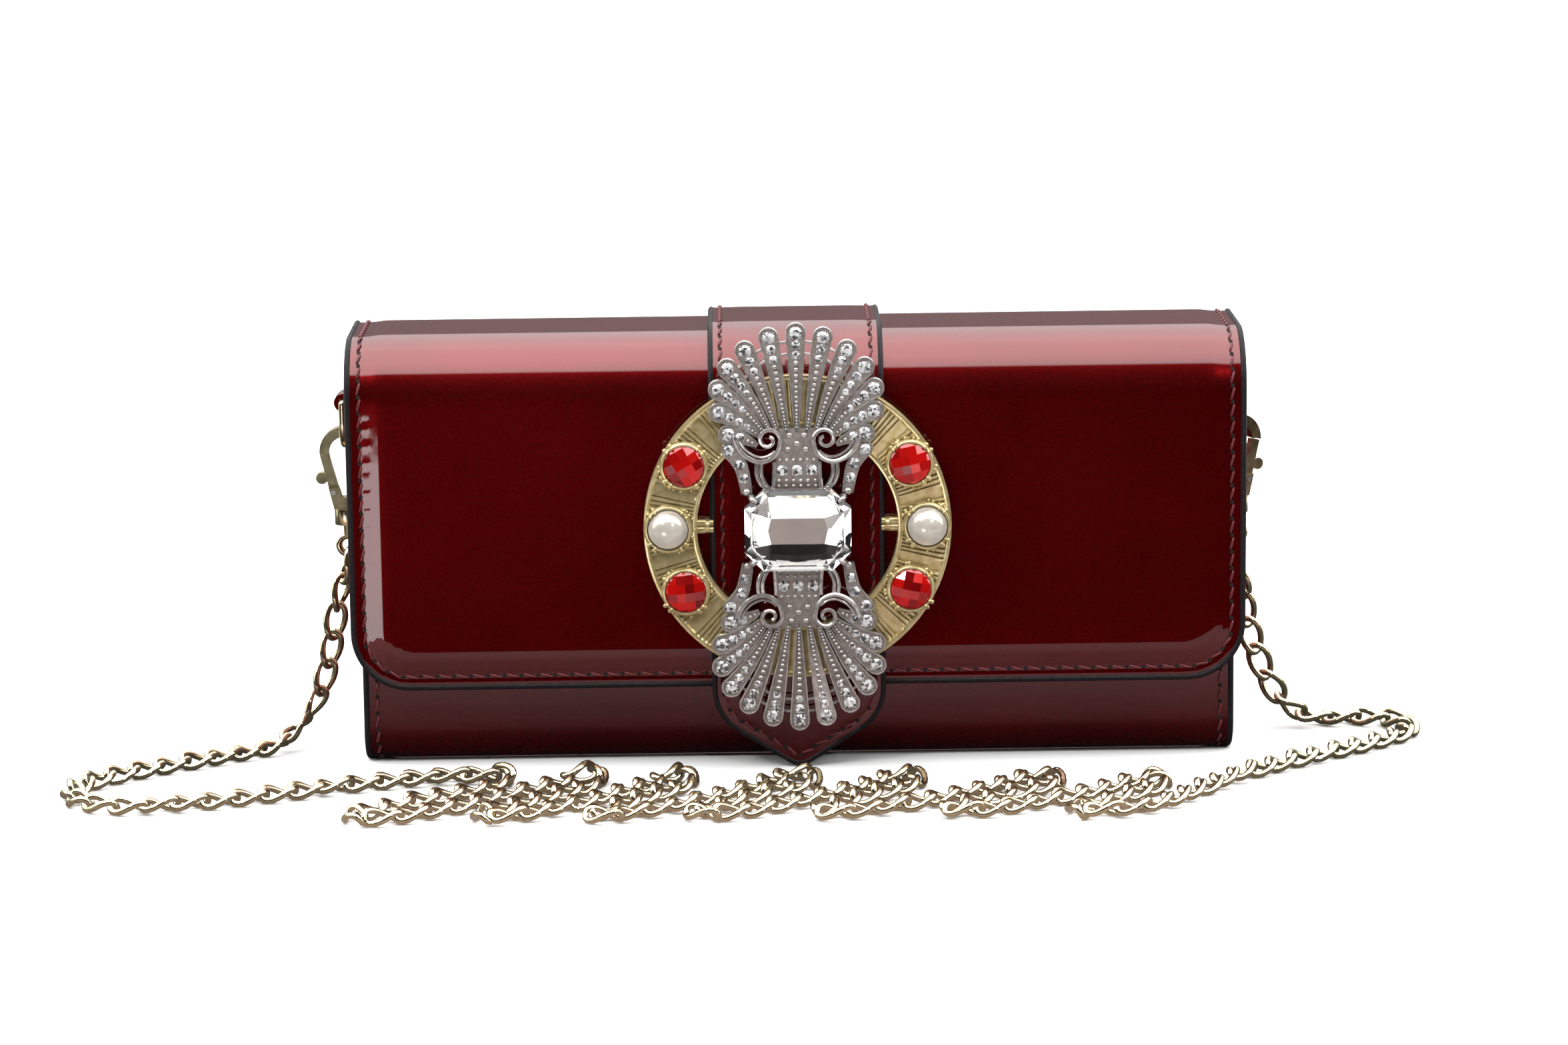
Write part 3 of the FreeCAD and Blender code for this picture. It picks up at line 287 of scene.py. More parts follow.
def tube(points, radii, sides, closed=False):
    """Verts and faces of a round tube through the points, with its ends capped unless closed."""
    verts, faces = [], []
    count = len(points)
    side = None
    for index, point in enumerate(points):
        before = points[index - 1] if index or closed else point
        after = points[(index + 1) % count] if index + 1 < count or closed else point
        along = (after - before).normalized()
        if side is None:
            side = along.orthogonal().normalized()
        side = (side - along * side.dot(along)).normalized()
        other = along.cross(side)
        radius = radii[index] if isinstance(radii, (list, tuple)) else radii
        for turn in range(sides):
            angle = 2 * math.pi * turn / sides
            verts.append(point + (side * math.cos(angle) + other * math.sin(angle)) * radius)
    rings = count if closed else count - 1
    twist = 0
    if closed:
        gaps = [(verts[(count - 1) * sides] - verts[shift]).length for shift in range(sides)]
        twist = gaps.index(min(gaps))
    for ring in range(rings):
        last = closed and ring == count - 1
        for turn in range(sides):
            ahead = (turn + 1) % sides
            low, low_next = ring * sides + turn, ring * sides + ahead
            if last:
                high, high_next = (turn + twist) % sides, (ahead + twist) % sides
            else:
                high, high_next = low + sides, low_next + sides
            faces.append((low, low_next, high_next, high))
    if not closed:
        faces.append(tuple(range(sides - 1, -1, -1)))
        faces.append(tuple((count - 1) * sides + turn for turn in range(sides)))
    return verts, faces


def gather(parts):
    """Several lots of verts and faces as one."""
    verts, faces = [], []
    for part_verts, part_faces in parts:
        first = len(verts)
        verts.extend(part_verts)
        faces.extend(tuple(first + index for index in face) for face in part_faces)
    return verts, faces


chain_route = [
    (-112.6, 0, 48.3), (-115.8, -0.3, 37), (-117.6, -1.2, 24), (-121.5, -3.5, 11), (-130, -8.5, 2.6),
    (-147, -21, 2.6), (-164, -33, 2.6), (-177, -47, 2.6), (-176, -62, 2.6), (-162, -70, 2.6),
    (-144, -65, 2.6), (-124, -57, 2.6), (-104, -47, 2.6), (-85, -42.5, 2.6), (-71, -43, 2.6),
    (-73, -53, 2.6), (-97, -70, 2.6), (-110, -83, 2.6), (-94, -82, 2.6), (-66, -58, 3.0),
    (-49, -41, 2.6), (-50, -53, 2.6), (-68, -72, 2.6), (-79, -84, 2.6), (-66, -82, 2.6),
    (-42, -60, 3.0), (-28, -42, 2.6), (-27, -54, 2.6), (-42, -72, 2.6), (-52, -84, 2.6),
    (-40, -82, 2.6), (-14, -61, 3.0), (1, -43, 2.6), (3, -55, 2.6), (-17, -72, 2.6),
    (-28, -84, 2.6), (-15, -82, 2.6), (12, -62, 3.0), (27, -45, 2.6), (28, -56, 2.6),
    (12, -72, 2.6), (1, -84, 2.6), (14, -83, 2.6), (44, -64, 3.0), (60, -48, 2.6),
    (62, -58, 2.6), (44, -73, 2.6), (31, -84, 2.6), (44, -83, 2.6), (72, -66, 3.0),
    (86, -51, 2.6), (87, -61, 2.6), (74, -75, 2.6), (62, -85, 2.6), (73, -86, 2.6),
    (86, -79, 2.6), (98, -62, 2.6), (113, -45, 2.6), (131, -31, 2.6), (147, -18, 2.6),
    (155, -8, 2.6), (152, 3, 2.6), (140, 6, 2.6), (129, 3.5, 2.8), (121, 1.2, 9.5),
    (115.5, 0.4, 22), (112.2, 0.1, 35.5), (110.6, 0, 48.3)]
route_curve = bpy.data.curves.new("chain_route", "CURVE")
route_curve.dimensions = "3D"
spline = route_curve.splines.new("NURBS")
spline.points.add(len(chain_route) - 1)
for control, spot in zip(spline.points, chain_route):
    control.co = (*[value * MM for value in spot], 1.0)
spline.order_u = 3
spline.use_endpoint_u = True
spline.resolution_u = 16
route_object = bpy.data.objects.new("chain_route", route_curve)
bpy.context.collection.objects.link(route_object)
bpy.context.view_layer.update()
route_mesh = bpy.data.meshes.new_from_object(route_object)
chain_line = [vert.co.copy() for vert in route_mesh.vertices]
bpy.data.objects.remove(route_object)
bpy.data.meshes.remove(route_mesh)
bpy.data.curves.remove(route_curve)

chain_width = 6.5 * MM
link_wire = 1.62 * MM
link_pitch = 7.3 * MM
link_half_long = (link_pitch + link_wire) / 2 + 0.1 * MM
link_half_wide = (chain_width - link_wire) / 2
link_steps = 22
link_sides = 9
travelled = [0.0]
for before, after in zip(chain_line, chain_line[1:]):
    travelled.append(travelled[-1] + (after - before).length)
chain_length = travelled[-1]


def along_chain(distance):
    """Place and direction on the chain's line at a distance from the left clasp."""
    distance = min(max(distance, 0.0), chain_length)
    index = max(i for i in range(len(travelled) - 1) if travelled[i] <= distance)
    run = max(travelled[index + 1] - travelled[index], 1e-9)
    share = (distance - travelled[index]) / run
    step = chain_line[index + 1] - chain_line[index]
    return chain_line[index] + step * share, step.normalized()


end_gap = 1.9 * MM
link_count = round((chain_length - 2 * end_gap) / link_pitch) + 1
link_step = (chain_length - 2 * end_gap) / (link_count - 1)
lean = random.Random(4)
heap_middle_x, heap_half_wide = 8 * MM, 84 * MM
back_turns_y, back_turns_fade = -52 * MM, 6 * MM
links = []
for number in range(link_count):
    middle, heading = along_chain(end_gap + number * link_step)
    ahead_spot = along_chain(end_gap + (number + 0.5) * link_step)[0]
    behind_spot = along_chain(end_gap + (number - 0.5) * link_step)[0]
    if (ahead_spot - behind_spot).length > 1e-6:
        heading = (ahead_spot - behind_spot).normalized()
    from_end = min(number, link_count - 1 - number)
    flat_side = Vector((0, 0, 1)).cross(heading).normalized()
    hanging = min(max((middle.z - 4 * MM) / (10 * MM), 0.0), 1.0)
    near_back = min(max((middle.y - back_turns_y) / back_turns_fade, 0.0), 1.0)
    standing = (1 - hanging) * near_back * (abs(middle.x - heap_middle_x) < heap_half_wide)
    sway = lean.uniform(-14, 14) if from_end else 0
    tilt = math.radians(min(from_end, 2) * 44 * hanging + (1 - hanging) * (sway - 4) - 48 * standing)
    middle = middle + Vector((0, 0, standing * 1.3 * MM))
    face_up = heading.cross(flat_side)
    wide = flat_side * math.cos(tilt) + face_up * math.sin(tilt)
    deep = heading.cross(wide)
    ring = []
    for step in range(link_steps):
        angle = 2 * math.pi * step / link_steps
        reach, spread = math.cos(angle), math.sin(angle)
        spread = math.copysign(abs(spread) ** 0.75, spread)
        turn = math.radians(-56 + 22 * hanging) * reach
        ring.append(middle + heading * (link_half_long * reach)
                    + (wide * math.cos(turn) + deep * math.sin(turn)) * (link_half_wide * spread))
    lowest = min(spot.z for spot in ring) - link_wire / 2
    if middle.z < 6 * MM:
        drop = Vector((0, 0, max(-lowest, -1.6 * MM)))
        ring = [spot + drop for spot in ring]
    links.append(tube(ring, link_wire / 2, link_sides, closed=True))
chain = add_piece("shoulder_chain", *gather(links), pale_gold, "purse", "pale_gold")
chain.visible_glossy = False
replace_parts(chain, "chain_left", "chain_folds", "chain_right")

# ------------------------------------------------------------------ patent leather
# All outer leather is split leather under a burgundy pearl foil and a thick clear lacquer. The
# foil holds fine metal flakes, and cut edges are sealed with black edge paint.


def patent_leather(name):
    leather = finish_material(name, (0.09, 0.001, 0.0015), Metallic=0.8, Roughness=0.36,
                              Coat_Weight=1.0, Coat_Roughness=0.02, Coat_IOR=1.6,
                              Specular_IOR_Level=0.1, Specular_Tint=(0.55, 0.01, 0.02, 1.0))
    broad = object_noise(leather, 26.0, 2.0)
    two_tone(leather, broad, (0.082, 0.0016, 0.0020), (0.106, 0.0024, 0.0029))
    place = add_node(leather, "ShaderNodeTexCoord").outputs["Object"]
    flakes = add_node(leather, "ShaderNodeTexVoronoi", [("Vector", place)], Scale=5200.0).outputs["Color"]
    rough_spread(leather, flakes, 0.24, 0.36)
    bump(leather, flakes, 0.000012)
    ripple = object_noise(leather, 90.0, 2.0)
    lacquer = add_node(leather, "ShaderNodeBump", [("Height", ripple)], Strength=0.5, Distance=0.00003)
    feed(leather, "Coat Normal", lacquer.outputs["Normal"])
    return leather


burgundy = patent_leather("burgundy_patent")
edge_paint = finish_material("black_edge_paint", (0.008, 0.007, 0.008), Roughness=0.38,
                             Specular_IOR_Level=0.12)
edge_grain = object_noise(edge_paint, 1400.0, 2.0)
two_tone(edge_paint, edge_grain, (0.006, 0.005, 0.006), (0.014, 0.011, 0.012))
bump(edge_paint, edge_grain, 0.00004)
thread = finish_material("crimson_thread", (0.10, 0.003, 0.006), Roughness=0.5, Sheen_Weight=0.05)
place = add_node(thread, "ShaderNodeTexCoord").outputs["Object"]
plies = add_node(thread, "ShaderNodeTexWave", [("Vector", place)], Scale=900.0, Distortion=1.5).outputs["Fac"]
two_tone(thread, plies, (0.045, 0.001, 0.003), (0.13, 0.003, 0.009), 0.1, 0.9)
bump(thread, plies, 0.00006)
# Needle holes are near black discs at the surface: painted shade for the dark inside each hole.
hole_painted_shade = finish_material("hole_painted_shade", (0.004, 0.001, 0.001), Roughness=0.9)
two_tone(hole_painted_shade, object_noise(hole_painted_shade, 2000.0), (0.003, 0.001, 0.001), (0.008, 0.002, 0.002))


class Wrap:
    """Leather bent over straight runs and quarter turns. It is laid out flat as x across and s
    along, counted on its outer face, and lay() says where a spot of the flat piece goes."""

    def __init__(self, start, heading, runs):
        # runs: ("straight", length) or ("turn", outer radius)
        self.parts = []
        here, s = Vector(start), 0.0
        along = Vector(heading)
        for kind, *sizes in runs:
            normal = Vector((along.y, -along.x))
            if kind == "straight":
                self.parts.append((s, s + sizes[0], kind, here.copy(), along.copy(), None))
                here = here + along * sizes[0]
                s += sizes[0]
            else:
                radius = sizes[0]
                centre = here - normal * radius
                self.parts.append((s, s + radius * math.pi / 2, kind, centre, along.copy(), radius))
                here = centre + along * radius
                s += radius * math.pi / 2
                along = -normal
        self.length = s

    def lay(self, x, s, lift):
        """Place and outward direction, lift above the outer face."""
        for first, last, kind, spot, along, radius in self.parts:
            if s <= last + 1e-9 or last == self.length:
                normal = Vector((along.y, -along.x))
                if kind == "straight":
                    out = normal
                    flat = spot + along * (s - first)
                else:
                    angle = (s - first) / radius
                    out = normal * math.cos(angle) + along * math.sin(angle)
                    flat = spot + out * radius
                flat = flat + out * lift
                return Vector((x, flat.x, flat.y)), Vector((0.0, out.x, out.y))


def rounded(corners, radii, steps=9):
    """An open outline through the corners with each inner corner rounded."""
    corners = [Vector(corner) for corner in corners]
    outline = [corners[0]]
    for before, corner, after, radius in zip(corners, corners[1:], corners[2:], radii):
        run_in, run_out = (before - corner).normalized(), (after - corner).normalized()
        half = run_in.angle(run_out) / 2
        reach = min(radius / math.tan(half), 0.48 * (before - corner).length, 0.48 * (after - corner).length)
        radius = reach * math.tan(half)
        centre = corner + (run_in + run_out).normalized() * (radius / math.sin(half))
        first, last = corner + run_in * reach - centre, corner + run_out * reach - centre
        sweep = first.angle_signed(last)
        for step in range(steps + 1):
            turn = Matrix.Rotation(-sweep * step / steps, 2)
            outline.append(centre + turn @ first)
    outline.append(corners[-1])
    return outline


def gap_to(outline, spot):
    """Distance from a spot to an outline of the right half, with the left half mirrored."""
    x, s = abs(spot[0]), spot[1]
    nearest = 1e9
    for a, b in zip(outline, outline[1:]):
        run = b - a
        share = ((x - a.x) * run.x + (s - a.y) * run.y) / max(run.length_squared, 1e-12)
        share = min(max(share, 0.0), 1.0)
        nearest = min(nearest, math.hypot(a.x + run.x * share - x, a.y + run.y * share - s))
    return nearest


def smooth_step(value, low, high):
    share = min(max((value - low) / (high - low), 0.0), 1.0)
    return share * share * (3 - 2 * share)


stitch_pitch = 4.15 * MM


def leather_lift(gap, run, seam, sunk):
    """Height of the skin over its flat face: sunk along the seam, with a pucker between
    stitches, and full again further in."""
    dip = sunk * (1 - smooth_step(gap, seam + 0.4 * MM, seam + 5.2 * MM))
    groove = 0.16 * MM * math.exp(-((gap - seam) / (0.6 * MM)) ** 2)
    pucker = 0.10 * MM * math.exp(-((gap - seam - 1.1 * MM) / (0.7 * MM)) ** 2)
    wave = 0.5 + 0.5 * math.cos(2 * math.pi * run / stitch_pitch)
    return -dip - groove * (0.6 + 0.4 * wave) + pucker * wave


def row_stops(outline, first, last, spacing):
    """Lengths for the rows of a sheet: every outline point, and even steps between."""
    stops = sorted({round(spot.y, 7) for spot in outline if first <= spot.y <= last} | {first, last})
    rows = [stops[0]]
    for stop in stops[1:]:
        parts = max(1, round((stop - rows[-1]) / spacing))
        start = rows[-1]
        if stop - start < 0.05 * MM:
            continue
        rows.extend(start + (stop - start) * part / parts for part in range(1, parts + 1))
    return rows


def half_width_at(outline, s):
    """Widest reach of the outline at a length."""
    reach = 0.0
    for a, b in zip(outline, outline[1:]):
        if min(a.y, b.y) - 1e-6 <= s <= max(a.y, b.y) + 1e-6:
            share = 0.0 if abs(b.y - a.y) < 1e-9 else (s - a.y) / (b.y - a.y)
            reach = max(reach, a.x + (b.x - a.x) * share)
    return max(reach, 0.3 * MM)


def leather_sheet(name, wrap, outline, thick, seam, body, rows_spacing=1.4 * MM, material=burgundy,
                  slot="patent_leather", edge_rows=9, middle_spacing=2.0 * MM, face=None, sunk=0.45 * MM):
    """A closed sheet laid along a wrap, with its seam pressed along its outline, or flat at a
    given lift of its face."""
    low_s = min(spot.y for spot in outline)
    high_s = max(spot.y for spot in outline)
    rows = row_stops(outline, low_s, high_s, rows_spacing)
    widest = max(spot.x for spot in outline)
    edge = [step * 1.0 * MM for step in range(edge_rows)]
    shares = [1 - reach / widest for reach in edge]
    middle = max(2, round((widest - edge[-1]) / middle_spacing))
    shares += [shares[-1] * (1 - step / middle) for step in range(1, middle + 1)]
    shares = shares + [-share for share in reversed(shares[:-1])]
    columns = len(shares)
    top, under = [], []
    for s in rows:
        reach = half_width_at(outline, s)
        for share in shares:
            x = share * reach
            lift = face
            if face is None:
                run = s if abs(x) > widest - 8 * MM and reach > widest - 1 * MM else x
                lift = leather_lift(gap_to(outline, (x, s)), run, seam, sunk)
            top.append(wrap.lay(x, s, lift)[0])
            under.append(wrap.lay(x, s, -thick)[0])
    count = len(top)
    faces = []
    for row in range(len(rows) - 1):
        for column in range(columns - 1):
            a = row * columns + column
            faces.append((a, a + 1, a + columns + 1, a + columns))
            faces.append((count + a, count + a + columns, count + a + columns + 1, count + a + 1))
    border = list(range(columns))
    border += [row * columns + columns - 1 for row in range(1, len(rows))]
    border += [(len(rows) - 1) * columns + column for column in range(columns - 2, -1, -1)]
    border += [row * columns for row in range(len(rows) - 2, 0, -1)]
    for a, b in zip(border, border[1:] + border[:1]):
        faces.append((b, a, count + a, count + b))
    return add_piece(name, top + under, faces, material, body, slot, sharp=40)


def outline_walk(outline, inset):
    """The outline of both halves moved inwards, from one open end round to the other."""
    mirrored = [Vector((-spot.x, spot.y)) for spot in reversed(outline)]
    if outline[0].x < outline[-1].x:
        full = mirrored[:-1] + list(outline)
    else:
        full = list(outline) + mirrored[1:]
    moved = []
    for index, spot in enumerate(full):
        before, after = full[max(index - 1, 0)], full[min(index + 1, len(full) - 1)]
        along = (after - before).normalized()
        moved.append(spot + Vector((-along.y, along.x)) * inset)
    return moved


def even_spots(line, pitch):
    """Spots an even distance apart along a flat line, with the direction there."""
    total = sum((b - a).length for a, b in zip(line, line[1:]))
    count = max(2, round(total / pitch))
    spots, target, travelled_here, index = [], 0.0, 0.0, 0
    for number in range(count):
        target = total * (number + 0.5) / count
        while index < len(line) - 2 and travelled_here + (line[index + 1] - line[index]).length < target:
            travelled_here += (line[index + 1] - line[index]).length
            index += 1
        run = line[index + 1] - line[index]
        share = (target - travelled_here) / max(run.length, 1e-9)
        spots.append((line[index] + run * share, run.normalized()))
    return spots


def stitching(name, wrap, line, body, sunk=0.45 * MM):
    """Slanted lockstitches along a flat line, each with the needle hole at its end as a near black disc of
    painted shade.
    """
    stitches, holes = [], []
    for spot, along in even_spots(line, stitch_pitch):
        sideways = Vector((-along.y, along.x))
        bite = []
        for reach in (-0.5, -0.38, -0.15, 0.15, 0.38, 0.5):
            flat = spot + along * (reach * 3.0 * MM) + sideways * (reach * 0.8 * MM)
            rise = 0.34 * MM * (1 - (2 * reach) ** 4)
            bite.append(wrap.lay(flat.x, flat.y, rise - sunk - 0.1 * MM)[0])
        stitches.append(tube(bite, [0.16 * MM, 0.29 * MM, 0.33 * MM, 0.33 * MM, 0.29 * MM, 0.16 * MM], 7))
        flat = spot + along * (0.5 * stitch_pitch)
        low = wrap.lay(flat.x, flat.y, -sunk - 0.6 * MM)[0]
        high = wrap.lay(flat.x, flat.y, -sunk + 0.02 * MM)[0]
        holes.append(tube([low, high], [0.3 * MM, 0.52 * MM], 10))
    add_piece(name + "_thread", *gather(stitches), thread, body, "patent_leather")
    add_piece(name + "_holes", *gather(holes), hole_painted_shade, body, "patent_leather", smooth=False)


def edge_bead(name, wrap, line, thick, body, proud=0.35 * MM):
    """A rounded bead of edge paint along a flat line, as thick as the stacked layers."""
    sides = 12
    verts, faces = [], []
    stations = []
    for index, spot in enumerate(line):
        before, after = line[max(index - 1, 0)], line[min(index + 1, len(line) - 1)]
        if (after - before).length < 1e-9:
            continue
        stations.append((spot, (after - before).normalized()))
    for spot, along in stations:
        outward = Vector((along.y, -along.x))
        for turn in range(sides):
            angle = 2 * math.pi * turn / sides
            sideways = (math.cos(angle) * 0.85 * MM) + proud - 0.75 * MM
            flat = spot + outward * sideways
            verts.append(wrap.lay(flat.x, flat.y, -thick / 2 + math.sin(angle) * (thick / 2 + 0.12 * MM))[0])
    for ring_index in range(len(stations) - 1):
        for turn in range(sides):
            ahead = (turn + 1) % sides
            low = ring_index * sides
            faces.append((low + turn, low + ahead, low + sides + ahead, low + sides + turn))
    faces.append(tuple(range(sides - 1, -1, -1)))
    faces.append(tuple((len(stations) - 1) * sides + turn for turn in range(sides)))
    return add_piece(name, verts, faces, edge_paint, body, "patent_leather")


def dense(line, spacing):
    """The same flat line with extra spots on long runs."""
    out = [line[0]]
    for a, b in zip(line, line[1:]):
        parts = max(1, round((b - a).length / spacing))
        out.extend(a + (b - a) * part / parts for part in range(1, parts + 1))
    return out


# ------------------------------------------------------------------ purse body
# One strip of board-backed leather forms the front, base and back. Two folded gussets close its
# sides, sewn along the strip's edges, and the inside is lined with black twill.

body_low, body_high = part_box("wrap_leather")
wrap_front_z = body_high.z
wrap_back_z = 92.0 * MM
base_round = 8.0 * MM
wrap_thick = 1.4 * MM
wrap_seam = 3.2 * MM
wrap_edge_thick = 2.6 * MM
body_half_depth = (body_high.y - body_low.y) / 2
body_wrap = Wrap((body_low.y, wrap_front_z), (0, -1), [
    ("straight", wrap_front_z - base_round), ("turn", base_round),
    ("straight", 2 * (body_half_depth - base_round)), ("turn", base_round),
    ("straight", wrap_back_z - base_round)])
body_reach = body_high.x
body_edge = [Vector((body_reach, 0.0)), Vector((body_reach, body_wrap.length))]
wrap_skin = leather_sheet("wrap_skin", body_wrap, body_edge, wrap_thick, wrap_seam, "purse",
                          rows_spacing=2.1 * MM, middle_spacing=4 * MM)
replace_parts(wrap_skin, "wrap_leather")
for side_name, side_sign in (("right", 1), ("left", -1)):
    bead_line = [Vector((side_sign * body_reach, s)) for s in (0.0, body_wrap.length)]
    seam_line = [Vector((side_sign * (body_reach - wrap_seam), s))
                 for s in (1 * MM, body_wrap.length - 1 * MM)]
    if side_sign < 0:
        bead_line.reverse()
    edge_bead(f"wrap_edge_{side_name}", body_wrap, dense(bead_line, 2 * MM), wrap_edge_thick, "purse",
              proud=0.2 * MM)
    stitching(f"wrap_seam_{side_name}", body_wrap, dense(seam_line, 2 * MM), "purse")


def dress(node, material, edge=0.0):
    """Give a piece of the frame its finish, and soften its edges by the given width."""
    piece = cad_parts[node]
    piece.data.materials.clear()
    piece.data.materials.append(material)
    if edge:
        joined = piece.modifiers.new("joined", "WELD")
        joined.merge_threshold = 0.001 * MM
        soft = piece.modifiers.new("soft_edges", "BEVEL")
        soft.width = edge
        soft.segments = 2
        soft.limit_method = "ANGLE"
        soft.angle_limit = math.radians(35)


def woven(name, dark, light, pitch):
    """Plain or twill cloth, pitch in metres between threads."""
    cloth = finish_material(name, light, Roughness=0.85, Sheen_Weight=0.25)
    place = add_node(cloth, "ShaderNodeTexCoord").outputs["Object"]
    weave = add_node(cloth, "ShaderNodeTexWave", [("Vector", place)], Scale=1 / (pitch * 6.0), Distortion=0.4,
                     bands_direction="DIAGONAL").outputs["Fac"]
    two_tone(cloth, weave, dark, light, 0.2, 0.8)
    bump(cloth, weave, 0.00015, 0.6)
    return cloth


twill = woven("black_twill", (0.008, 0.007, 0.008), (0.03, 0.027, 0.028), 0.5 * MM)
card = finish_material("grey_board", (0.30, 0.26, 0.20), Roughness=0.9)
card_fibres = object_noise(card, 700.0, 4.0)
two_tone(card, card_fibres, (0.24, 0.20, 0.15), (0.36, 0.31, 0.25))
bump(card, card_fibres, 0.00008)
for node in ("main_lining", "card_pocket"):
    dress(node, twill, 0.2 * MM)
for node in ("front_board", "back_board", "base_board", "flap_front_board"):
    dress(node, card, 0.15 * MM)
for node in ("gusset_left", "gusset_right"):
    dress(node, burgundy, 0.35 * MM)

# ------------------------------------------------------------------ flap
# The flap is stiffened leather, lined and edge painted, sewn to the back. It bends over the top at
# two soft shoulders, which are its only hinges, and hangs over the front with rounded corners.

tail_low, tail_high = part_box("flap_back_leather")
flap_low, flap_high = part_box("flap_front_leather")
top_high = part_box("flap_top_leather")[1]
shoulder_z = tail_high.z
shoulder = top_high.z - shoulder_z
flap_run = tail_high.y - flap_low.y - 2 * shoulder
flap_wrap = Wrap((tail_high.y, tail_low.z), (0, 1), [
    ("straight", shoulder_z - tail_low.z), ("turn", shoulder), ("straight", flap_run),
    ("turn", shoulder), ("straight", shoulder_z - flap_low.z)])
flap_reach = flap_high.x
flap_middle = shoulder_z - tail_low.z + shoulder * math.pi / 2 + flap_run / 2
flap_corner = 14.0 * MM
flap_seam = 3.1 * MM
flap_thick = 2.4 * MM
rear_fold = ("purse", "flap_top", (0, tail_high.y, shoulder_z), (0, tail_high.y - shoulder, top_high.z))
front_fold = ("flap_top", "flap_front", (0, flap_low.y + shoulder, top_high.z), (0, flap_low.y, shoulder_z))
rear_edge = rounded([(0, 0), (flap_reach, 0), (flap_reach, flap_middle)], [4 * MM])
front_edge = rounded([(flap_reach, flap_middle), (flap_reach, flap_wrap.length), (0, flap_wrap.length)],
                     [flap_corner], steps=14)
for part, flat_edge, fold, cad_pieces in (
        ("rear", rear_edge, rear_fold, ["flap_back_leather", "flap_rear_shoulder", "flap_top_leather"]),
        ("front", front_edge, front_fold, ["flap_front_leather", "flap_front_shoulder"])):
    skin = leather_sheet(f"flap_skin_{part}", flap_wrap, flat_edge, 1.3 * MM, flap_seam, fold,
                         rows_spacing=1.5 * MM, middle_spacing=4 * MM if part == "rear" else 2.1 * MM)
    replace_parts(skin, *cad_pieces)
    inner_edge = [Vector((max(spot.x - 0.5 * MM, 0.0), spot.y)) for spot in flat_edge]
    under = leather_sheet(f"flap_lining_{part}", flap_wrap, inner_edge, flap_thick, flap_seam, fold,
                          rows_spacing=3 * MM, material=twill, slot="lining", edge_rows=2,
                          middle_spacing=12 * MM, face=-1.9 * MM)
    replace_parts(under, *{"rear": ["flap_back_lining", "flap_top_lining"],
                         "front": ["flap_front_lining"]}[part])
    edge_bead(f"flap_edge_{part}", flap_wrap, dense(outline_walk(flat_edge, 0.0), 2 * MM), flap_thick, fold)
    stitching(f"flap_seam_{part}", flap_wrap, dense(outline_walk(flat_edge, flap_seam), 2 * MM), fold)

# ------------------------------------------------------------------ strap
# A band of the same leather runs from the back over the top to a rounded point below the flap.
# It is sewn to the flap and carries the buckle.

strap_back_low, strap_back_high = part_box("strap_back")
strap_low, strap_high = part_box("strap_front_leather")
strap_top_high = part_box("strap_top")[1]
strap_shoulder = strap_top_high.z - shoulder_z
strap_wrap = Wrap((strap_back_high.y, strap_back_low.z), (0, 1), [
    ("straight", shoulder_z - strap_back_low.z), ("turn", strap_shoulder), ("straight", flap_run),
    ("turn", strap_shoulder), ("straight", shoulder_z - strap_low.z)])
strap_reach = strap_high.x
strap_middle = shoulder_z - strap_back_low.z + strap_shoulder * math.pi / 2 + flap_run / 2
strap_end = strap_wrap.length + 0.6 * MM
strap_side = strap_end - 13.1 * MM
strap_seam = 2.6 * MM
strap_rear_edge = rounded([(0, 0), (strap_reach, 0), (strap_reach, strap_middle)], [4 * MM])
pointed = rounded([(strap_reach, strap_middle), (strap_reach, strap_side), (0, strap_end),
                   (-strap_reach, strap_side)], [12.5 * MM, 5 * MM], steps=10)
strap_front_edge = [spot for spot in pointed if spot.x > 0.02 * MM]
strap_front_edge.append(Vector((0.0, strap_front_edge[-1].y)))
for part, flat_edge, fold, thick, cad_pieces in (
        ("rear", strap_rear_edge, rear_fold, 2.1 * MM, ["strap_back", "strap_rear_shoulder", "strap_top"]),
        ("front", strap_front_edge, front_fold, 1.2 * MM, ["strap_front_leather", "strap_front_shoulder"])):
    skin = leather_sheet(f"strap_skin_{part}", strap_wrap, flat_edge, thick, strap_seam, fold,
                         rows_spacing=1.5 * MM, edge_rows=8, middle_spacing=2.2 * MM, sunk=0.1 * MM)
    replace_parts(skin, *cad_pieces)
    edge_bead(f"strap_edge_{part}", strap_wrap, dense(outline_walk(flat_edge, 0.0), 2 * MM), 2.2 * MM, fold)
    stitching(f"strap_seam_{part}", strap_wrap, dense(outline_walk(flat_edge, strap_seam), 2 * MM), fold,
              sunk=0.12 * MM)
for node in ("strap_backing_upper", "strap_backing_lower"):
    dress(node, burgundy)

# ------------------------------------------------------------------ tabs, dee rings and clasps
# A riveted leather loop on each gusset holds a dee ring. A cast lobster clasp with a sprung lever
# hooks on it and turns on a swivel eye, all plated pale gold.

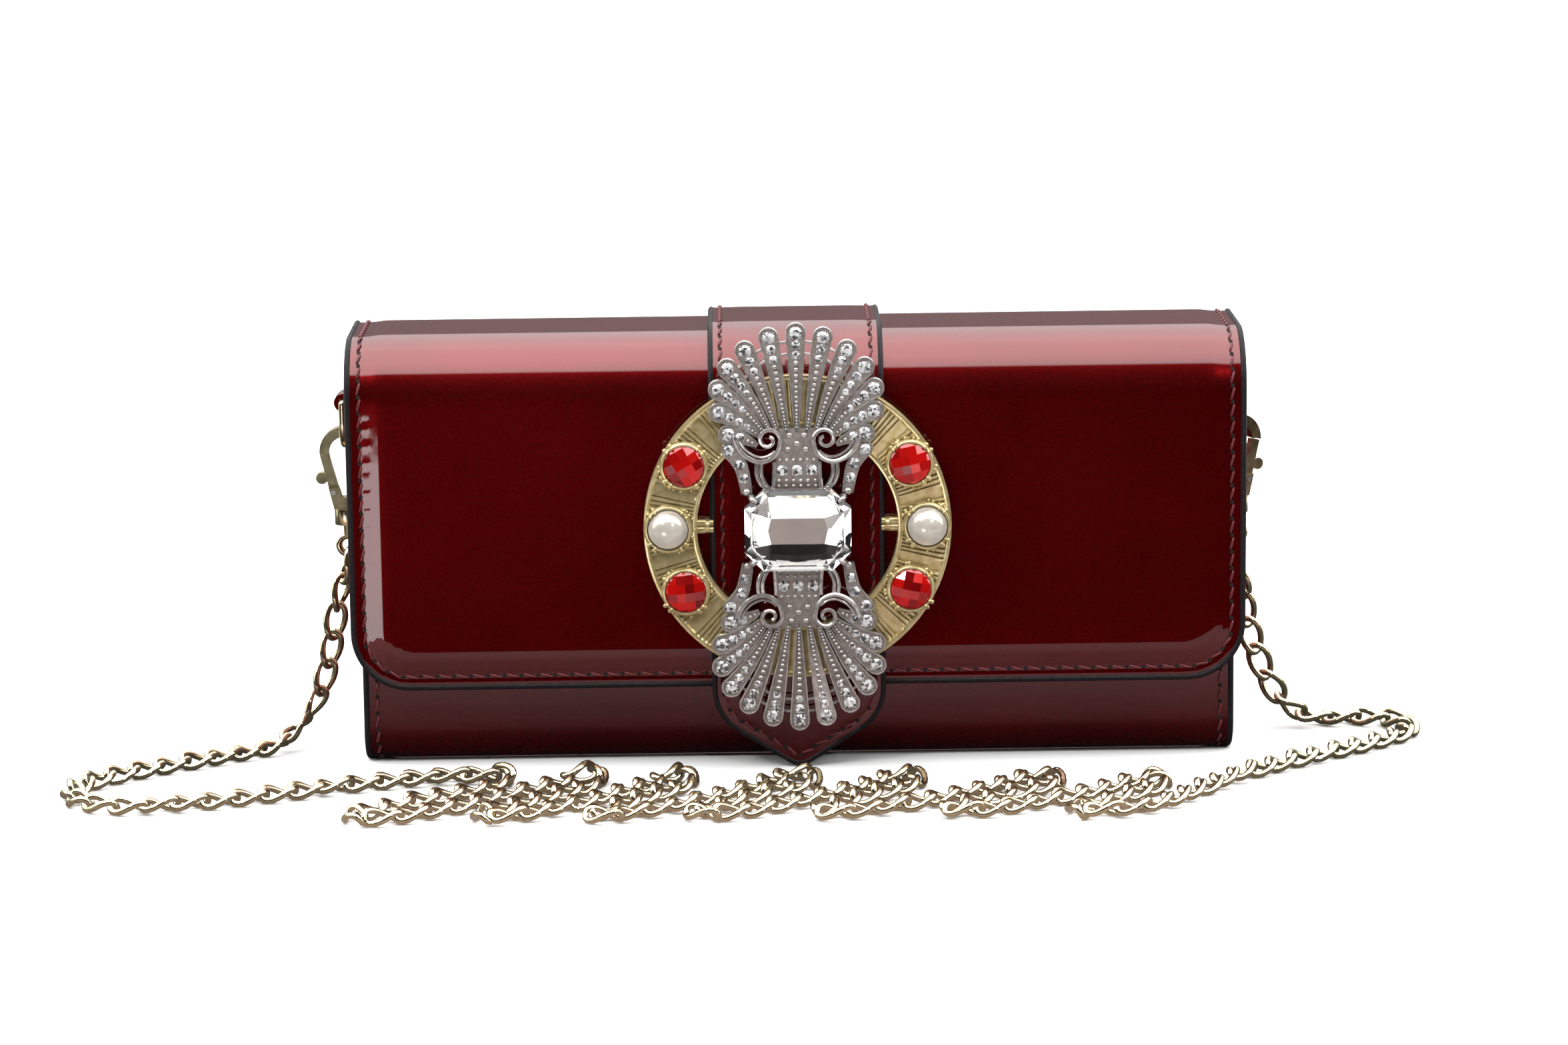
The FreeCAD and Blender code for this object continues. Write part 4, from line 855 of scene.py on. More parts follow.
clasp_gold = finish_material("clasp_gold_plate", (0.72, 0.60, 0.34), Metallic=1.0, Roughness=0.1)
cast_marks = object_noise(clasp_gold, 500.0, 3.0)
two_tone(clasp_gold, cast_marks, (0.64, 0.53, 0.29), (0.78, 0.67, 0.42))
rough_spread(clasp_gold, cast_marks, 0.14, 0.26)
bump(clasp_gold, cast_marks, 0.000008)
steel = finish_material("spring_steel", (0.55, 0.55, 0.56), Metallic=1.0, Roughness=0.3)
drawn = object_noise(steel, 1500.0, 2.0)
two_tone(steel, drawn, (0.48, 0.48, 0.49), (0.62, 0.62, 0.63))
bump(steel, drawn, 0.00001)
for side_name in ("left", "right"):
    dress(f"ring_tab_{side_name}", burgundy, 0.3 * MM)
    dress(f"dee_ring_{side_name}", clasp_gold)
    dress(f"clasp_{side_name}_hook", clasp_gold, 0.5 * MM)
    dress(f"clasp_{side_name}_lever", clasp_gold, 0.3 * MM)
    dress(f"clasp_{side_name}_swivel", clasp_gold, 0.2 * MM)
    dress(f"clasp_{side_name}_pin", steel)
    dress(f"clasp_{side_name}_spring", steel)
dress("tab_rivets", clasp_gold, 0.2 * MM)

# ------------------------------------------------------------------ magnetic snap
# A magnet in a pressed cup sits on the front panel and a stud under the flap, each riveted
# through its leather to a steel washer.

ferrite = finish_material("ferrite", (0.05, 0.05, 0.055), Roughness=0.6)
two_tone(ferrite, object_noise(ferrite, 1200.0, 3.0), (0.035, 0.035, 0.04), (0.07, 0.07, 0.075))
dress("snap_socket", clasp_gold, 0.25 * MM)
dress("snap_magnet", ferrite)
dress("snap_stud", clasp_gold, 0.25 * MM)
for node in ("snap_socket_washer", "snap_stud_washer"):
    dress(node, steel)

# ------------------------------------------------------------------ buckle ring
# A flat ring cast in zinc with a raised rim on both sides and radial reeding between, plated
# antique gold. A thin bar behind it passes between the strap's layers.

ring_low, ring_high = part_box("buckle_ring")
buckle_z = (ring_low.z + ring_high.z) / 2
ring_back, ring_face = -ring_high.y, -ring_low.y
ring_outer = ring_high.x
ring_inner = 24.6 * MM
antique_gold = finish_material("antique_gold", (0.62, 0.52, 0.30), Metallic=0.7, Roughness=0.3)
casting = object_noise(antique_gold, 420.0, 4.0, 0.6)
two_tone(antique_gold, casting, (0.44, 0.34, 0.15), (0.62, 0.51, 0.28), 0.35, 0.6)
rough_spread(antique_gold, casting, 0.30, 0.18)
bump(antique_gold, casting, 0.00005)


def on_front(x, up, depth):
    """A spot in front of the purse, counted from the buckle's centre, depth towards the front."""
    return Vector((x, -depth, buckle_z + up))


def reeding(angle, radius):
    """Depth of the ring's face between its rims: bands of fine ridges and plain bands."""
    share = ((math.degrees(angle) + 4.0) % 15.0) / 15.0
    wobble = 0.03 * MM * math.sin(radius / MM * 1.7 + angle * 9)
    if share < 0.36:
        return ring_face - 0.9 * MM + 0.7 * MM * share / 0.36 + wobble
    tooth = ((share - 0.36) / 0.64 * 5) % 1.0
    if tooth < 0.27:
        return ring_face - 1.0 * MM
    return ring_face - 0.5 * MM + 0.3 * MM * tooth + wobble


ring_steps = 1440
rim = 1.15 * MM
verts, faces = [], []
field_width = ring_outer - ring_inner - 2 * rim - 0.7 * MM
band = [ring_inner + rim + 0.35 * MM + field_width * share / 6 for share in range(7)]
for step in range(ring_steps):
    angle = 2 * math.pi * step / ring_steps
    section = [(ring_inner, ring_back), (ring_inner, ring_face - 0.35 * MM),
               (ring_inner + 0.1 * MM, ring_face - 0.1 * MM),
               (ring_inner + 0.35 * MM, ring_face), (ring_inner + rim - 0.3 * MM, ring_face),
               (ring_inner + rim, ring_face - 0.1 * MM)]
    section += [(radius, reeding(angle, radius)) for radius in band]
    section += [(ring_outer - rim, ring_face - 0.1 * MM), (ring_outer - rim + 0.3 * MM, ring_face),
                (ring_outer - 0.35 * MM, ring_face), (ring_outer - 0.1 * MM, ring_face - 0.1 * MM),
                (ring_outer, ring_face - 0.35 * MM), (ring_outer, ring_back)]
    for radius, depth in section:
        verts.append(on_front(radius * math.cos(angle), radius * math.sin(angle), depth))
    per = len(section)
for step in range(ring_steps):
    after = (step + 1) % ring_steps
    for index in range(per):
        ahead = (index + 1) % per
        faces.append((step * per + index, step * per + ahead, after * per + ahead, after * per + index))
ring = add_piece("ring_casting", verts, faces, antique_gold, "flap_front", "antique_gold", sharp=30)
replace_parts(ring, "buckle_ring")


def ball(centre, radius, around=10, rings=6):
    """Verts and faces of a small round bead."""
    verts = [centre + Vector((0, -radius, 0))]
    for ring_number in range(1, rings):
        tilt = math.pi * ring_number / rings
        for turn in range(around):
            angle = 2 * math.pi * turn / around
            verts.append(centre + Vector((math.cos(angle) * math.sin(tilt), -math.cos(tilt),
                                          math.sin(angle) * math.sin(tilt))) * radius)
    verts.append(centre + Vector((0, radius, 0)))
    last = len(verts) - 1
    faces = [(0, 1 + turn, 1 + (turn + 1) % around) for turn in range(around)]
    for ring_number in range(rings - 2):
        for turn in range(around):
            a, b = 1 + ring_number * around + turn, 1 + ring_number * around + (turn + 1) % around
            faces.append((a, a + around, b + around, b))
    faces += [(last, last - around + (turn + 1) % around, last - around + turn) for turn in range(around)]
    return verts, faces


def turned(x, up, section, around, spin=0.0):
    """A piece turned about an axis that points forward, closed by a flat face at both ends.
    Section is radius and depth pairs."""
    verts, faces = [], []
    for radius, depth in section:
        for turn in range(around):
            angle = 2 * math.pi * turn / around + spin
            verts.append(on_front(x + radius * math.cos(angle), up + radius * math.sin(angle), depth))
    for index in range(len(section) - 1):
        for turn in range(around):
            ahead = (turn + 1) % around
            faces.append((index * around + turn, index * around + ahead,
                          (index + 1) * around + ahead, (index + 1) * around + turn))
    faces.append(tuple(range(around)))
    faces.append(tuple((len(section) - 1) * around + turn for turn in range(around)))
    return verts, faces


bar_ends = []
for side_sign in (-1, 1):
    for up in (-0.85 * MM, 0.85 * MM):
        bar_ends.append(tube([on_front(side_sign * reach * MM, up, ring_back - 0.3 * MM)
                              for reach in (20.6, 21.5, 23.0, 24.4, 25.6)],
                             [0.8 * MM, 0.8 * MM, 0.95 * MM, 1.0 * MM, 1.0 * MM], 12))
    bar_ends.append(tube([on_front(side_sign * reach * MM, 0, ring_back - 0.3 * MM)
                          for reach in (21.4, 21.6, 22.5, 22.7)],
                         [1.3 * MM, 1.7 * MM, 1.7 * MM, 1.3 * MM], 14))
add_piece("bar_ends", *gather(bar_ends), antique_gold, "flap_front", "antique_gold", sharp=40)
dress("buckle_bar", antique_gold, 0.15 * MM)

# ------------------------------------------------------------------ stones and pearls on the ring
# Each side of the ring carries a pearl between two red checker-cut stones, all 10 mm across. They
# sit in cast cups and are held by four doubled prongs.

stone_radius = 5.0 * MM
stone_circle = 31.7 * MM
stone_turn = math.radians(29.5)
red_glass = finish_material("red_foiled_glass", (0.55, 0.004, 0.006), Roughness=0.05, Metallic=0.35,
                            Coat_Weight=1.0, Coat_Roughness=0.01, Coat_IOR=1.6)
# Each facet gets a random shade from dark to bright red, smoother when bright: painted glints for light the
# foil throws back through the facets.
facet_glint = add_node(red_glass, "ShaderNodeAttribute", attribute_name="facet_glint").outputs["Fac"]
two_tone(red_glass, facet_glint, (0.14, 0.0005, 0.001), (0.52, 0.006, 0.004), 0.0, 1.0)
rough_spread(red_glass, facet_glint, 0.16, 0.05)
pearl_coat = finish_material("pearl_lustre", (0.86, 0.82, 0.74), Roughness=0.22, Metallic=0.25,
                             Coat_Weight=1.0, Coat_Roughness=0.04, Sheen_Weight=0.2)
nacre = object_noise(pearl_coat, 260.0, 2.0)
two_tone(pearl_coat, nacre, (0.37, 0.335, 0.285), (0.46, 0.425, 0.38))
bump(pearl_coat, nacre, 0.00002)

cups, stone_spots = [], []
for side_sign in (-1, 1):
    for turn_sign in (1, 0, -1):
        stone_spots.append((side_sign * stone_circle * math.cos(turn_sign * stone_turn),
                            stone_circle * math.sin(turn_sign * stone_turn), turn_sign))
cup_sides = 40
cup_wall = [(5.0, 0.2), (5.02, 1.0), (5.12, 1.45), (5.4, 1.5), (5.72, 1.3), (5.95, 0.7),
            (6.05, -0.1), (5.0, -0.1)]
lumps = random.Random(7)
for x, up, kind in stone_spots:
    cup_section = [(radius * MM, ring_face + depth * MM) for radius, depth in cup_wall]
    verts, faces = turned(x, up, cup_section, cup_sides)
    last_ring = (len(cup_wall) - 1) * cup_sides
    closing = [(last_ring + turn, last_ring + (turn + 1) % cup_sides, (turn + 1) % cup_sides, turn)
               for turn in range(cup_sides)]
    cups.append((verts, faces[:-2] + closing))
    for quarter in range(4):
        turn = math.pi / 4 + quarter * math.pi / 2 + lumps.uniform(-0.08, 0.08)
        for split in (-0.14, 0.14):
            for reach, rise, size_here in ((5.45, 1.6, 0.52), (6.1, 0.7, 0.6)):
                cups.append(ball(on_front(x + reach * MM * math.cos(turn + split),
                                          up + reach * MM * math.sin(turn + split),
                                          ring_face + rise * MM), size_here * MM))
    for _ in range(16):
        turn = lumps.uniform(0, 2 * math.pi)
        reach = lumps.uniform(6.1, 6.5) * MM
        spot = (x + reach * math.cos(turn), up + reach * math.sin(turn))
        if ring_inner + 0.6 * MM < math.hypot(*spot) < ring_outer - 0.6 * MM:
            cups.append(ball(on_front(*spot, ring_face - 0.15 * MM), lumps.uniform(0.35, 0.6) * MM, 8, 5))
cup_piece = add_piece("stone_cups", *gather(cups), antique_gold, "flap_front", "antique_gold", sharp=50)
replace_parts(cup_piece, "stone_settings")


def cut_stone(name, spots, material, body):
    """Convex faceted stones: each the hull of its corner spots, with a random painted glint value for every
    facet.
    """
    mesh = bpy.data.meshes.new(name)
    shape = bmesh.new()
    for corners in spots:
        own = [shape.verts.new(corner) for corner in corners]
        hull = bmesh.ops.convex_hull(shape, input=own)
        spare = [item for item in hull["geom_interior"] if isinstance(item, bmesh.types.BMVert)]
        bmesh.ops.delete(shape, geom=spare, context="VERTS")
    bmesh.ops.dissolve_limit(shape, angle_limit=math.radians(0.6), verts=shape.verts, edges=shape.edges)
    bmesh.ops.recalc_face_normals(shape, faces=shape.faces)
    shape.to_mesh(mesh)
    shape.free()
    facet_glints = mesh.attributes.new("facet_glint", "FLOAT", "FACE")
    picker = random.Random(11)
    facet_glints.data.foreach_set("value", [picker.random() for _ in mesh.polygons])
    mesh.materials.append(material)
    made = bpy.data.objects.new(name, mesh)
    bpy.context.collection.objects.link(made)
    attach(made, body)
    return made


checkers = []
girdle_corners = 28
for x, up, kind in stone_spots:
    if kind == 0:
        continue
    corners = []
    spin = math.radians(12 * kind) + (0.3 if x < 0 else 0.0)
    cell = 2.15 * MM
    for i in range(-3, 4):
        for j in range(-3, 4):
            a, b = i * cell, j * cell
            reach = math.hypot(a, b)
            if reach < stone_radius * 0.97:
                rise = 3.3 * MM - 1.75 * MM * (reach / stone_radius) ** 2
                corners.append(on_front(x + a * math.cos(spin) - b * math.sin(spin),
                                        up + a * math.sin(spin) + b * math.cos(spin), ring_face + rise))
    for turn in range(girdle_corners):
        angle = 2 * math.pi * turn / girdle_corners
        edge_x, edge_up = x + stone_radius * math.cos(angle), up + stone_radius * math.sin(angle)
        corners.append(on_front(edge_x, edge_up, ring_face + 1.35 * MM))
        corners.append(on_front(edge_x, edge_up, ring_face + 0.1 * MM))
    checkers.append(corners)
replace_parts(cut_stone("checker_stones", checkers, red_glass, "flap_front"), "red_stones")

domes = []
for x, up, kind in stone_spots:
    if kind == 0:
        domes.append(turned(x, up, [(stone_radius * math.cos(step * math.pi / 32), ring_face + 0.05 * MM
                                     + 4.75 * MM * math.sin(step * math.pi / 32)) for step in range(16)], 40))
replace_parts(add_piece("pearl_domes", *gather(domes), pearl_coat, "flap_front", "pearl", sharp=60), "pearls")

# ------------------------------------------------------------------ shell ornament
# One silver casting of two scallop fans, foot to foot behind the crystal, with curled scrolls and
# beaded collars. Every petal has a raised rim round a satin field set with graded rhinestones.

antique_silver = finish_material("antique_silver", (0.60, 0.57, 0.54), Metallic=0.75, Roughness=0.18)
brushed = object_noise(antique_silver, 700.0, 3.0)
two_tone(antique_silver, brushed, (0.36, 0.33, 0.31), (0.58, 0.55, 0.53))
rough_spread(antique_silver, brushed, 0.12, 0.22)
bump(antique_silver, brushed, 0.00002)
satin_silver = finish_material("satin_silver_field", (0.32, 0.28, 0.26), Metallic=0.6, Roughness=0.38)
satin = object_noise(satin_silver, 900.0, 4.0)
two_tone(satin_silver, satin, (0.20, 0.165, 0.15), (0.32, 0.28, 0.26))
rough_spread(satin_silver, satin, 0.3, 0.45)
bump(satin_silver, satin, 0.00004)
rhinestone = finish_material("rhinestone_glass", (0.86, 0.87, 0.90), Metallic=0.35, Roughness=0.1,
                             Coat_Weight=1.0, Coat_Roughness=0.01)
# The base colour runs from dark to light over cells about a facet wide: painted glints and dark facets for
# the sparkle of the cut.
place = add_node(rhinestone, "ShaderNodeTexCoord").outputs["Object"]
glint_cells = add_node(rhinestone, "ShaderNodeTexVoronoi", [("Vector", place)], Scale=1500.0).outputs["Color"]
two_tone(rhinestone, glint_cells, (0.07, 0.066, 0.07), (0.66, 0.66, 0.66), 0.3, 0.7)

back_depth = ring_face
plate_depth = ring_face + 1.55 * MM
field_depth = plate_depth - 0.35 * MM
castings, gems, beads = [], [], []


def bend_line(spots, steps):
    """A smooth flat line through spots given in millimetres."""
    line = []
    spots = [Vector([value * MM for value in spot]) for spot in spots]
    for index in range(len(spots) - 1):
        p0, p1 = spots[max(index - 1, 0)], spots[index]
        p2, p3 = spots[index + 1], spots[min(index + 2, len(spots) - 1)]
        for step in range(steps):
            t = step / steps
            line.append(0.5 * (2 * p1 + (p2 - p0) * t + (2 * p0 - 5 * p1 + 4 * p2 - p3) * t * t
                               + (3 * p1 - p0 - 3 * p2 + p3) * t ** 3))
    line.append(spots[-1])
    return line


def placed(line, side_sign, flip, depth):
    """The line at a depth, in the quarter of the ornament that the two signs give."""
    return [on_front(spot.x * side_sign, spot.y * flip, depth) for spot in line]


def finger(line, radii):
    """A tapering petal with a round tip, a raised rim and a sunk field. Line starts at the tip."""
    cap = 9
    ledges = [(0.0, back_depth), (0.0, plate_depth - 0.2 * MM), (0.12 * MM, plate_depth),
              (0.34 * MM, plate_depth), (0.46 * MM, field_depth)]
    verts, faces = [], []
    count = len(line)
    sideways = []
    for index in range(count):
        along = (line[min(index + 1, count - 1)] - line[max(index - 1, 0)]).normalized()
        sideways.append(Vector((-along.y, along.x)))
    for inset, depth in ledges:
        loop = []
        for index in range(count - 1, -1, -1):
            loop.append(line[index] + sideways[index] * max(radii[index] - inset, radii[index] * 0.3))
        tip_reach = max(radii[0] - inset, radii[0] * 0.3)
        first = math.atan2(sideways[0].y, sideways[0].x)
        for step in range(1, cap):
            angle = first + math.pi * step / cap
            loop.append(line[0] + Vector((math.cos(angle), math.sin(angle))) * tip_reach)
        for index in range(count):
            loop.append(line[index] - sideways[index] * max(radii[index] - inset, radii[index] * 0.3))
        verts.extend(on_front(spot.x, spot.y, depth) for spot in loop)
        per_loop = len(loop)
    for level_index in range(len(ledges) - 1):
        for index in range(per_loop):
            ahead = (index + 1) % per_loop
            faces.append((level_index * per_loop + index, level_index * per_loop + ahead,
                          (level_index + 1) * per_loop + ahead, (level_index + 1) * per_loop + index))
    for base in (0, (len(ledges) - 1) * per_loop):
        for index in range(per_loop // 2 - 1):
            a, b = index, per_loop - 1 - index
            if b - 1 > a + 1:
                faces.append((base + a, base + a + 1, base + b - 1, base + b))
            else:
                faces.append((base + a, base + a + 1, base + b))
    return verts, faces


def gem(x, up, radius, depth):
    """A small brilliant cut stone with four prong beads round it."""
    stone = [(radius, depth - 0.3 * MM), (radius, depth + 0.12 * radius),
             (radius * 0.6, depth + 0.38 * radius)]
    gems.append(turned(x, up, stone, 8, spin=math.pi / 8))
    for quarter in range(4):
        turn = math.pi / 4 + quarter * math.pi / 2
        beads.append(ball(on_front(x + 1.02 * radius * math.cos(turn), up + 1.02 * radius * math.sin(turn),
                                   depth + 0.14 * MM), 0.13 * radius + 0.06 * MM, 6, 4))


# Tips and roots of the upper fan's petals, from the middle to the right, as radius, up and across
# from the buckle's centre.
petals = [((0.0, 48.3), (0.0, 24.0)), ((6.6, 47.2), (2.5, 24.0)), ((12.4, 44.0), (4.8, 24.2)),
          ((16.7, 39.7), (6.7, 24.6)), ((19.0, 34.5), (8.0, 23.8)), ((18.9, 28.9), (9.0, 22.8)),
          ((16.7, 23.4), (9.6, 20.6))]
petal_tip, petal_root = 2.5 * MM, 0.60 * MM
gem_rows = [(0.1, 1.6), (3.0, 1.2), (5.5, 1.0), (7.7, 0.85)]
for flip in (1, -1):
    for side_sign in (1, -1):
        tips = []
        for number, (tip, root) in enumerate(petals):
            if number == 0 and side_sign < 0:
                continue
            tip, root = Vector(tip) * MM, Vector(root) * MM
            pull = root + Vector(((tip.x - root.x) * 0.36, (tip.y - root.y) * 0.42 + (tip.x - root.x) * 0.10))
            line = []
            for step in range(15):
                t = step / 14
                spot = tip * (1 - t) ** 2 + pull * (2 * t * (1 - t)) + root * t ** 2
                line.append(Vector((spot.x * side_sign, spot.y * flip)))
            radii = [petal_root + (petal_tip - petal_root) * (1 - step / 14) for step in range(15)]
            castings.append(finger(line, radii))
            runs = [0.0]
            for a, b in zip(line, line[1:]):
                runs.append(runs[-1] + (b - a).length)

            def on_petal(distance):
                index = max(i for i in range(len(runs) - 1) if runs[i] <= distance)
                share = (distance - runs[index]) / (runs[index + 1] - runs[index])
                return line[index] + (line[index + 1] - line[index]) * share, radii[index]

            for back_here, gem_radius in gem_rows[:2 if number == 6 else 3 if number < 3 else 4]:
                spot, _ = on_petal(back_here * MM)
                gem(spot.x, spot.y, gem_radius * MM, field_depth)
            distance = (5.1 if number == 6 else 7.4 if number < 3 else 9.4) * MM
            while distance < runs[-1] - 0.6 * MM:
                spot, width_here = on_petal(distance)
                bead_size = max(0.33 * MM, width_here * 0.36)
                beads.append(ball(on_front(spot.x, spot.y, field_depth + 0.25 * MM), bead_size, 8, 5))
                distance += 2 * bead_size + 0.12 * MM
            tips.append((on_petal(1.9 * MM)[0], on_petal(4.9 * MM)[0]))
        if side_sign < 0:
            tips.insert(0, (Vector((0, (48.2 - 1.9) * MM * flip)), Vector((0, (48.2 - 4.9) * MM * flip))))
        for near, far in zip(tips, tips[1:]):
            for level_index in (0, 1):
                castings.append(tube([on_front(*near[level_index], plate_depth - 0.75 * MM),
                                      on_front(*far[level_index], plate_depth - 0.75 * MM)], 0.36 * MM, 8))

        # A scroll curls in beside the collar and runs out under the lowest petal.
        curl = []
        for step in range(27):
            angle = math.radians(180 - 430 + 430 * step / 26)
            reach = (0.8 + 2.1 * step / 26) * MM
            curl.append(Vector((6.9 * MM + reach * math.cos(angle), 22.0 * MM + reach * math.sin(angle))))
        tail = bend_line([(4.0, 22.0), (4.6, 19.3), (6.4, 17.3), (9.2, 16.6), (12.3, 17.9), (14.2, 20.1),
                          (15.0, 22.2)], 4)
        scroll = placed(curl + tail[1:], side_sign, flip, plate_depth + 0.1 * MM)
        scroll_wire = 0.62 * MM
        castings.append(tube(scroll, [scroll_wire * (0.75 + 0.35 * index / len(scroll))
                                      for index in range(len(scroll))], 9))
        inner_tail = [Vector((spot.x * 0.93 + 0.4 * MM, spot.y + 1.15 * MM)) for spot in tail[6:-3]]
        castings.append(tube(placed(inner_tail, side_sign, flip, plate_depth), 0.34 * MM, 8))

        # Arm of single stones that runs from the fan down beside the crystal.
        arm = [(16.6, 19.5, 1.4), (13.9, 16.0, 1.35), (13.0, 12.5, 1.25)]
        lobes = bend_line([(16.6, 19.6), (13.9, 16.0), (12.9, 12.4), (12.3, 8.8)], 5)
        lobes = [Vector((spot.x * side_sign, spot.y * flip)) for spot in lobes]
        castings.append(finger(lobes, [(1.95 - 0.55 * index / (len(lobes) - 1)) * MM
                                       for index in range(len(lobes))]))
        for x, up, gem_radius in arm:
            gem(x * MM * side_sign, up * MM * flip, gem_radius * MM, field_depth)
        beads.append(ball(on_front(12.35 * MM * side_sign, 9.2 * MM * flip, field_depth + 0.5 * MM),
                          1.0 * MM, 14, 8))
        for bend in (0.0, 1.15):
            handle = bend_line([(9.7 - bend, 16.7), (9.9 - bend, 13.6), (8.8 - bend, 10.9),
                                (6.9 - bend / 2, 9.5)], 5)
            castings.append(tube(placed(handle, side_sign, flip, plate_depth - 0.5 * MM), 0.5 * MM, 9))
        rail = bend_line([(5.5, 16.6), (5.6, 13.0), (5.9, 9.4)], 5)
        castings.append(tube(placed(rail, side_sign, flip, plate_depth - 0.2 * MM), 0.48 * MM, 9))

    # Collar plate between the scrolls, with rows of beads and three stones.
    half = [(4.7, 24.8), (4.5, 21.0), (5.0, 18.0), (5.5, 16.0), (5.8, 9.2)]
    collar = [(x * MM, up * MM * flip) for x, up in half]
    collar += [(-x * MM, up * MM * flip) for x, up in reversed(half)]
    per = len(collar)
    collar_verts = [on_front(x, up, depth) for depth in (back_depth, plate_depth - 0.4 * MM)
                    for x, up in collar]
    collar_faces = [tuple(range(per)), tuple(range(2 * per - 1, per - 1, -1))]
    collar_faces += [(index, (index + 1) % per, per + (index + 1) % per, per + index)
                     for index in range(per)]
    castings.append((collar_verts, collar_faces))
    for up, across_count, reach, bead_size in (
            (23.1, 2, 1.8, 0.8), (21.0, 1, 0.0, 0.85), (19.6, 2, 2.2, 0.8),
            (17.0, 6, 4.2, 0.52), (11.9, 6, 4.4, 0.5), (10.6, 6, 4.5, 0.45)):
        for number in range(across_count):
            x = 0.0 if across_count == 1 else -reach + 2 * reach * number / (across_count - 1)
            bead_spot = on_front(x * MM, up * MM * flip, plate_depth - 0.25 * MM)
            beads.append(ball(bead_spot, bead_size * MM, 12, 7))
    for x in (-3.6, 0.0, 3.6):
        gem(x * MM, 14.4 * MM * flip, 1.4 * MM, field_depth)

casting_piece = add_piece("shell_casting", *gather(castings), antique_silver, "flap_front",
                          "antique_silver", sharp=35)
casting_piece.data.materials.append(satin_silver)
for facet_face in casting_piece.data.polygons:
    if facet_face.normal.y < -0.99 and -facet_face.center.y < plate_depth - 0.3 * MM:
        facet_face.material_index = 1
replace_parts(casting_piece, "shell_ornament")
add_piece("shell_beads", *gather(beads), antique_silver, "flap_front", "antique_silver")
gem_piece = add_piece("shell_rhinestones", *gather(gems), rhinestone, "flap_front", "crystal", smooth=False)
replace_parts(gem_piece, "rhinestones")
dress("ornament_rivets", antique_silver)

# ------------------------------------------------------------------ centre crystal
# A clear cut-corner crystal stands in a silver tray over the middle of the ornament. Its back is
# foiled, so the rear facets throw light back through the table. The foil's facets carry random
# painted glints, and its flat centre is a painted dark reflection.

crystal_low, crystal_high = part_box("centre_crystal")
crystal_back, crystal_face = -crystal_high.y, -crystal_low.y
crystal_half_wide, crystal_half_high = crystal_high.x, (crystal_high.z - crystal_low.z) / 2
crystal_cut = 4.6 * MM
crystal_glass = finish_material("clear_crystal", (0.98, 0.985, 1.0), Roughness=0.0, IOR=1.5,
                                Transmission_Weight=1.0)
two_tone(crystal_glass, object_noise(crystal_glass, 60.0), (0.96, 0.97, 0.985), (1.0, 1.0, 1.0))
crystal_foil = finish_material("crystal_foil", (0.88, 0.87, 0.86), Metallic=0.92, Roughness=0.05)
# Each foil facet gets a random shade from dark to bright, smoother when bright: painted glints behind the
# crystal.
foil_glint = add_node(crystal_foil, "ShaderNodeAttribute", attribute_name="facet_glint").outputs["Fac"]
two_tone(crystal_foil, foil_glint, (0.16, 0.14, 0.13), (0.80, 0.79, 0.75), 0.1, 0.8)
rough_spread(crystal_foil, foil_glint, 0.10, 0.03)


def cut_corner(wide, high, cut, depth):
    """Corners of a cut-corner rectangle about the buckle's centre."""
    corners = [(wide - cut, high), (wide, high - cut), (wide, cut - high), (wide - cut, -high),
               (cut - wide, -high), (-wide, cut - high), (-wide, high - cut), (cut - wide, high)]
    return [on_front(x, up, depth) for x, up in corners]


deep = crystal_face - crystal_back


def on_crystal(shares, share_deep):
    """Spots at shares of the crystal's half width and half height, and at a share of its depth."""
    return [on_front(x * crystal_half_wide, up * crystal_half_high, crystal_back + share_deep * deep)
            for x, up in shares]


crown = cut_corner(crystal_half_wide, crystal_half_high, crystal_cut, crystal_back + 0.40 * deep)
crown += cut_corner(crystal_half_wide, crystal_half_high, crystal_cut, crystal_back + 0.34 * deep)
crown += [on_front(x * crystal_half_wide * 0.86, up * crystal_half_high * 0.84, crystal_back + 0.74 * deep)
          for x, up in ((0.36, 1), (-0.36, 1), (0.36, -1), (-0.36, -1),
                        (1, 0.32), (1, -0.32), (-1, 0.32), (-1, -0.32),
                        (0.83, 0.80), (-0.83, 0.80), (0.83, -0.80), (-0.83, -0.80))]
crown += on_crystal([(0.52, 0.50), (-0.52, 0.50), (0.52, -0.50), (-0.52, -0.50),
                     (0.62, 0.0), (-0.62, 0.0), (0.0, 0.57), (0.0, -0.57)], 0.995)
pavilion = cut_corner(crystal_half_wide * 0.82, crystal_half_high * 0.78, crystal_cut * 0.8,
                      crystal_back + 0.14 * deep)
pavilion += on_crystal([(0.50, 0.30), (-0.50, 0.30), (0.50, -0.34), (-0.50, -0.34),
                        (0.56, 0.0), (-0.56, 0.0)], 0.035)
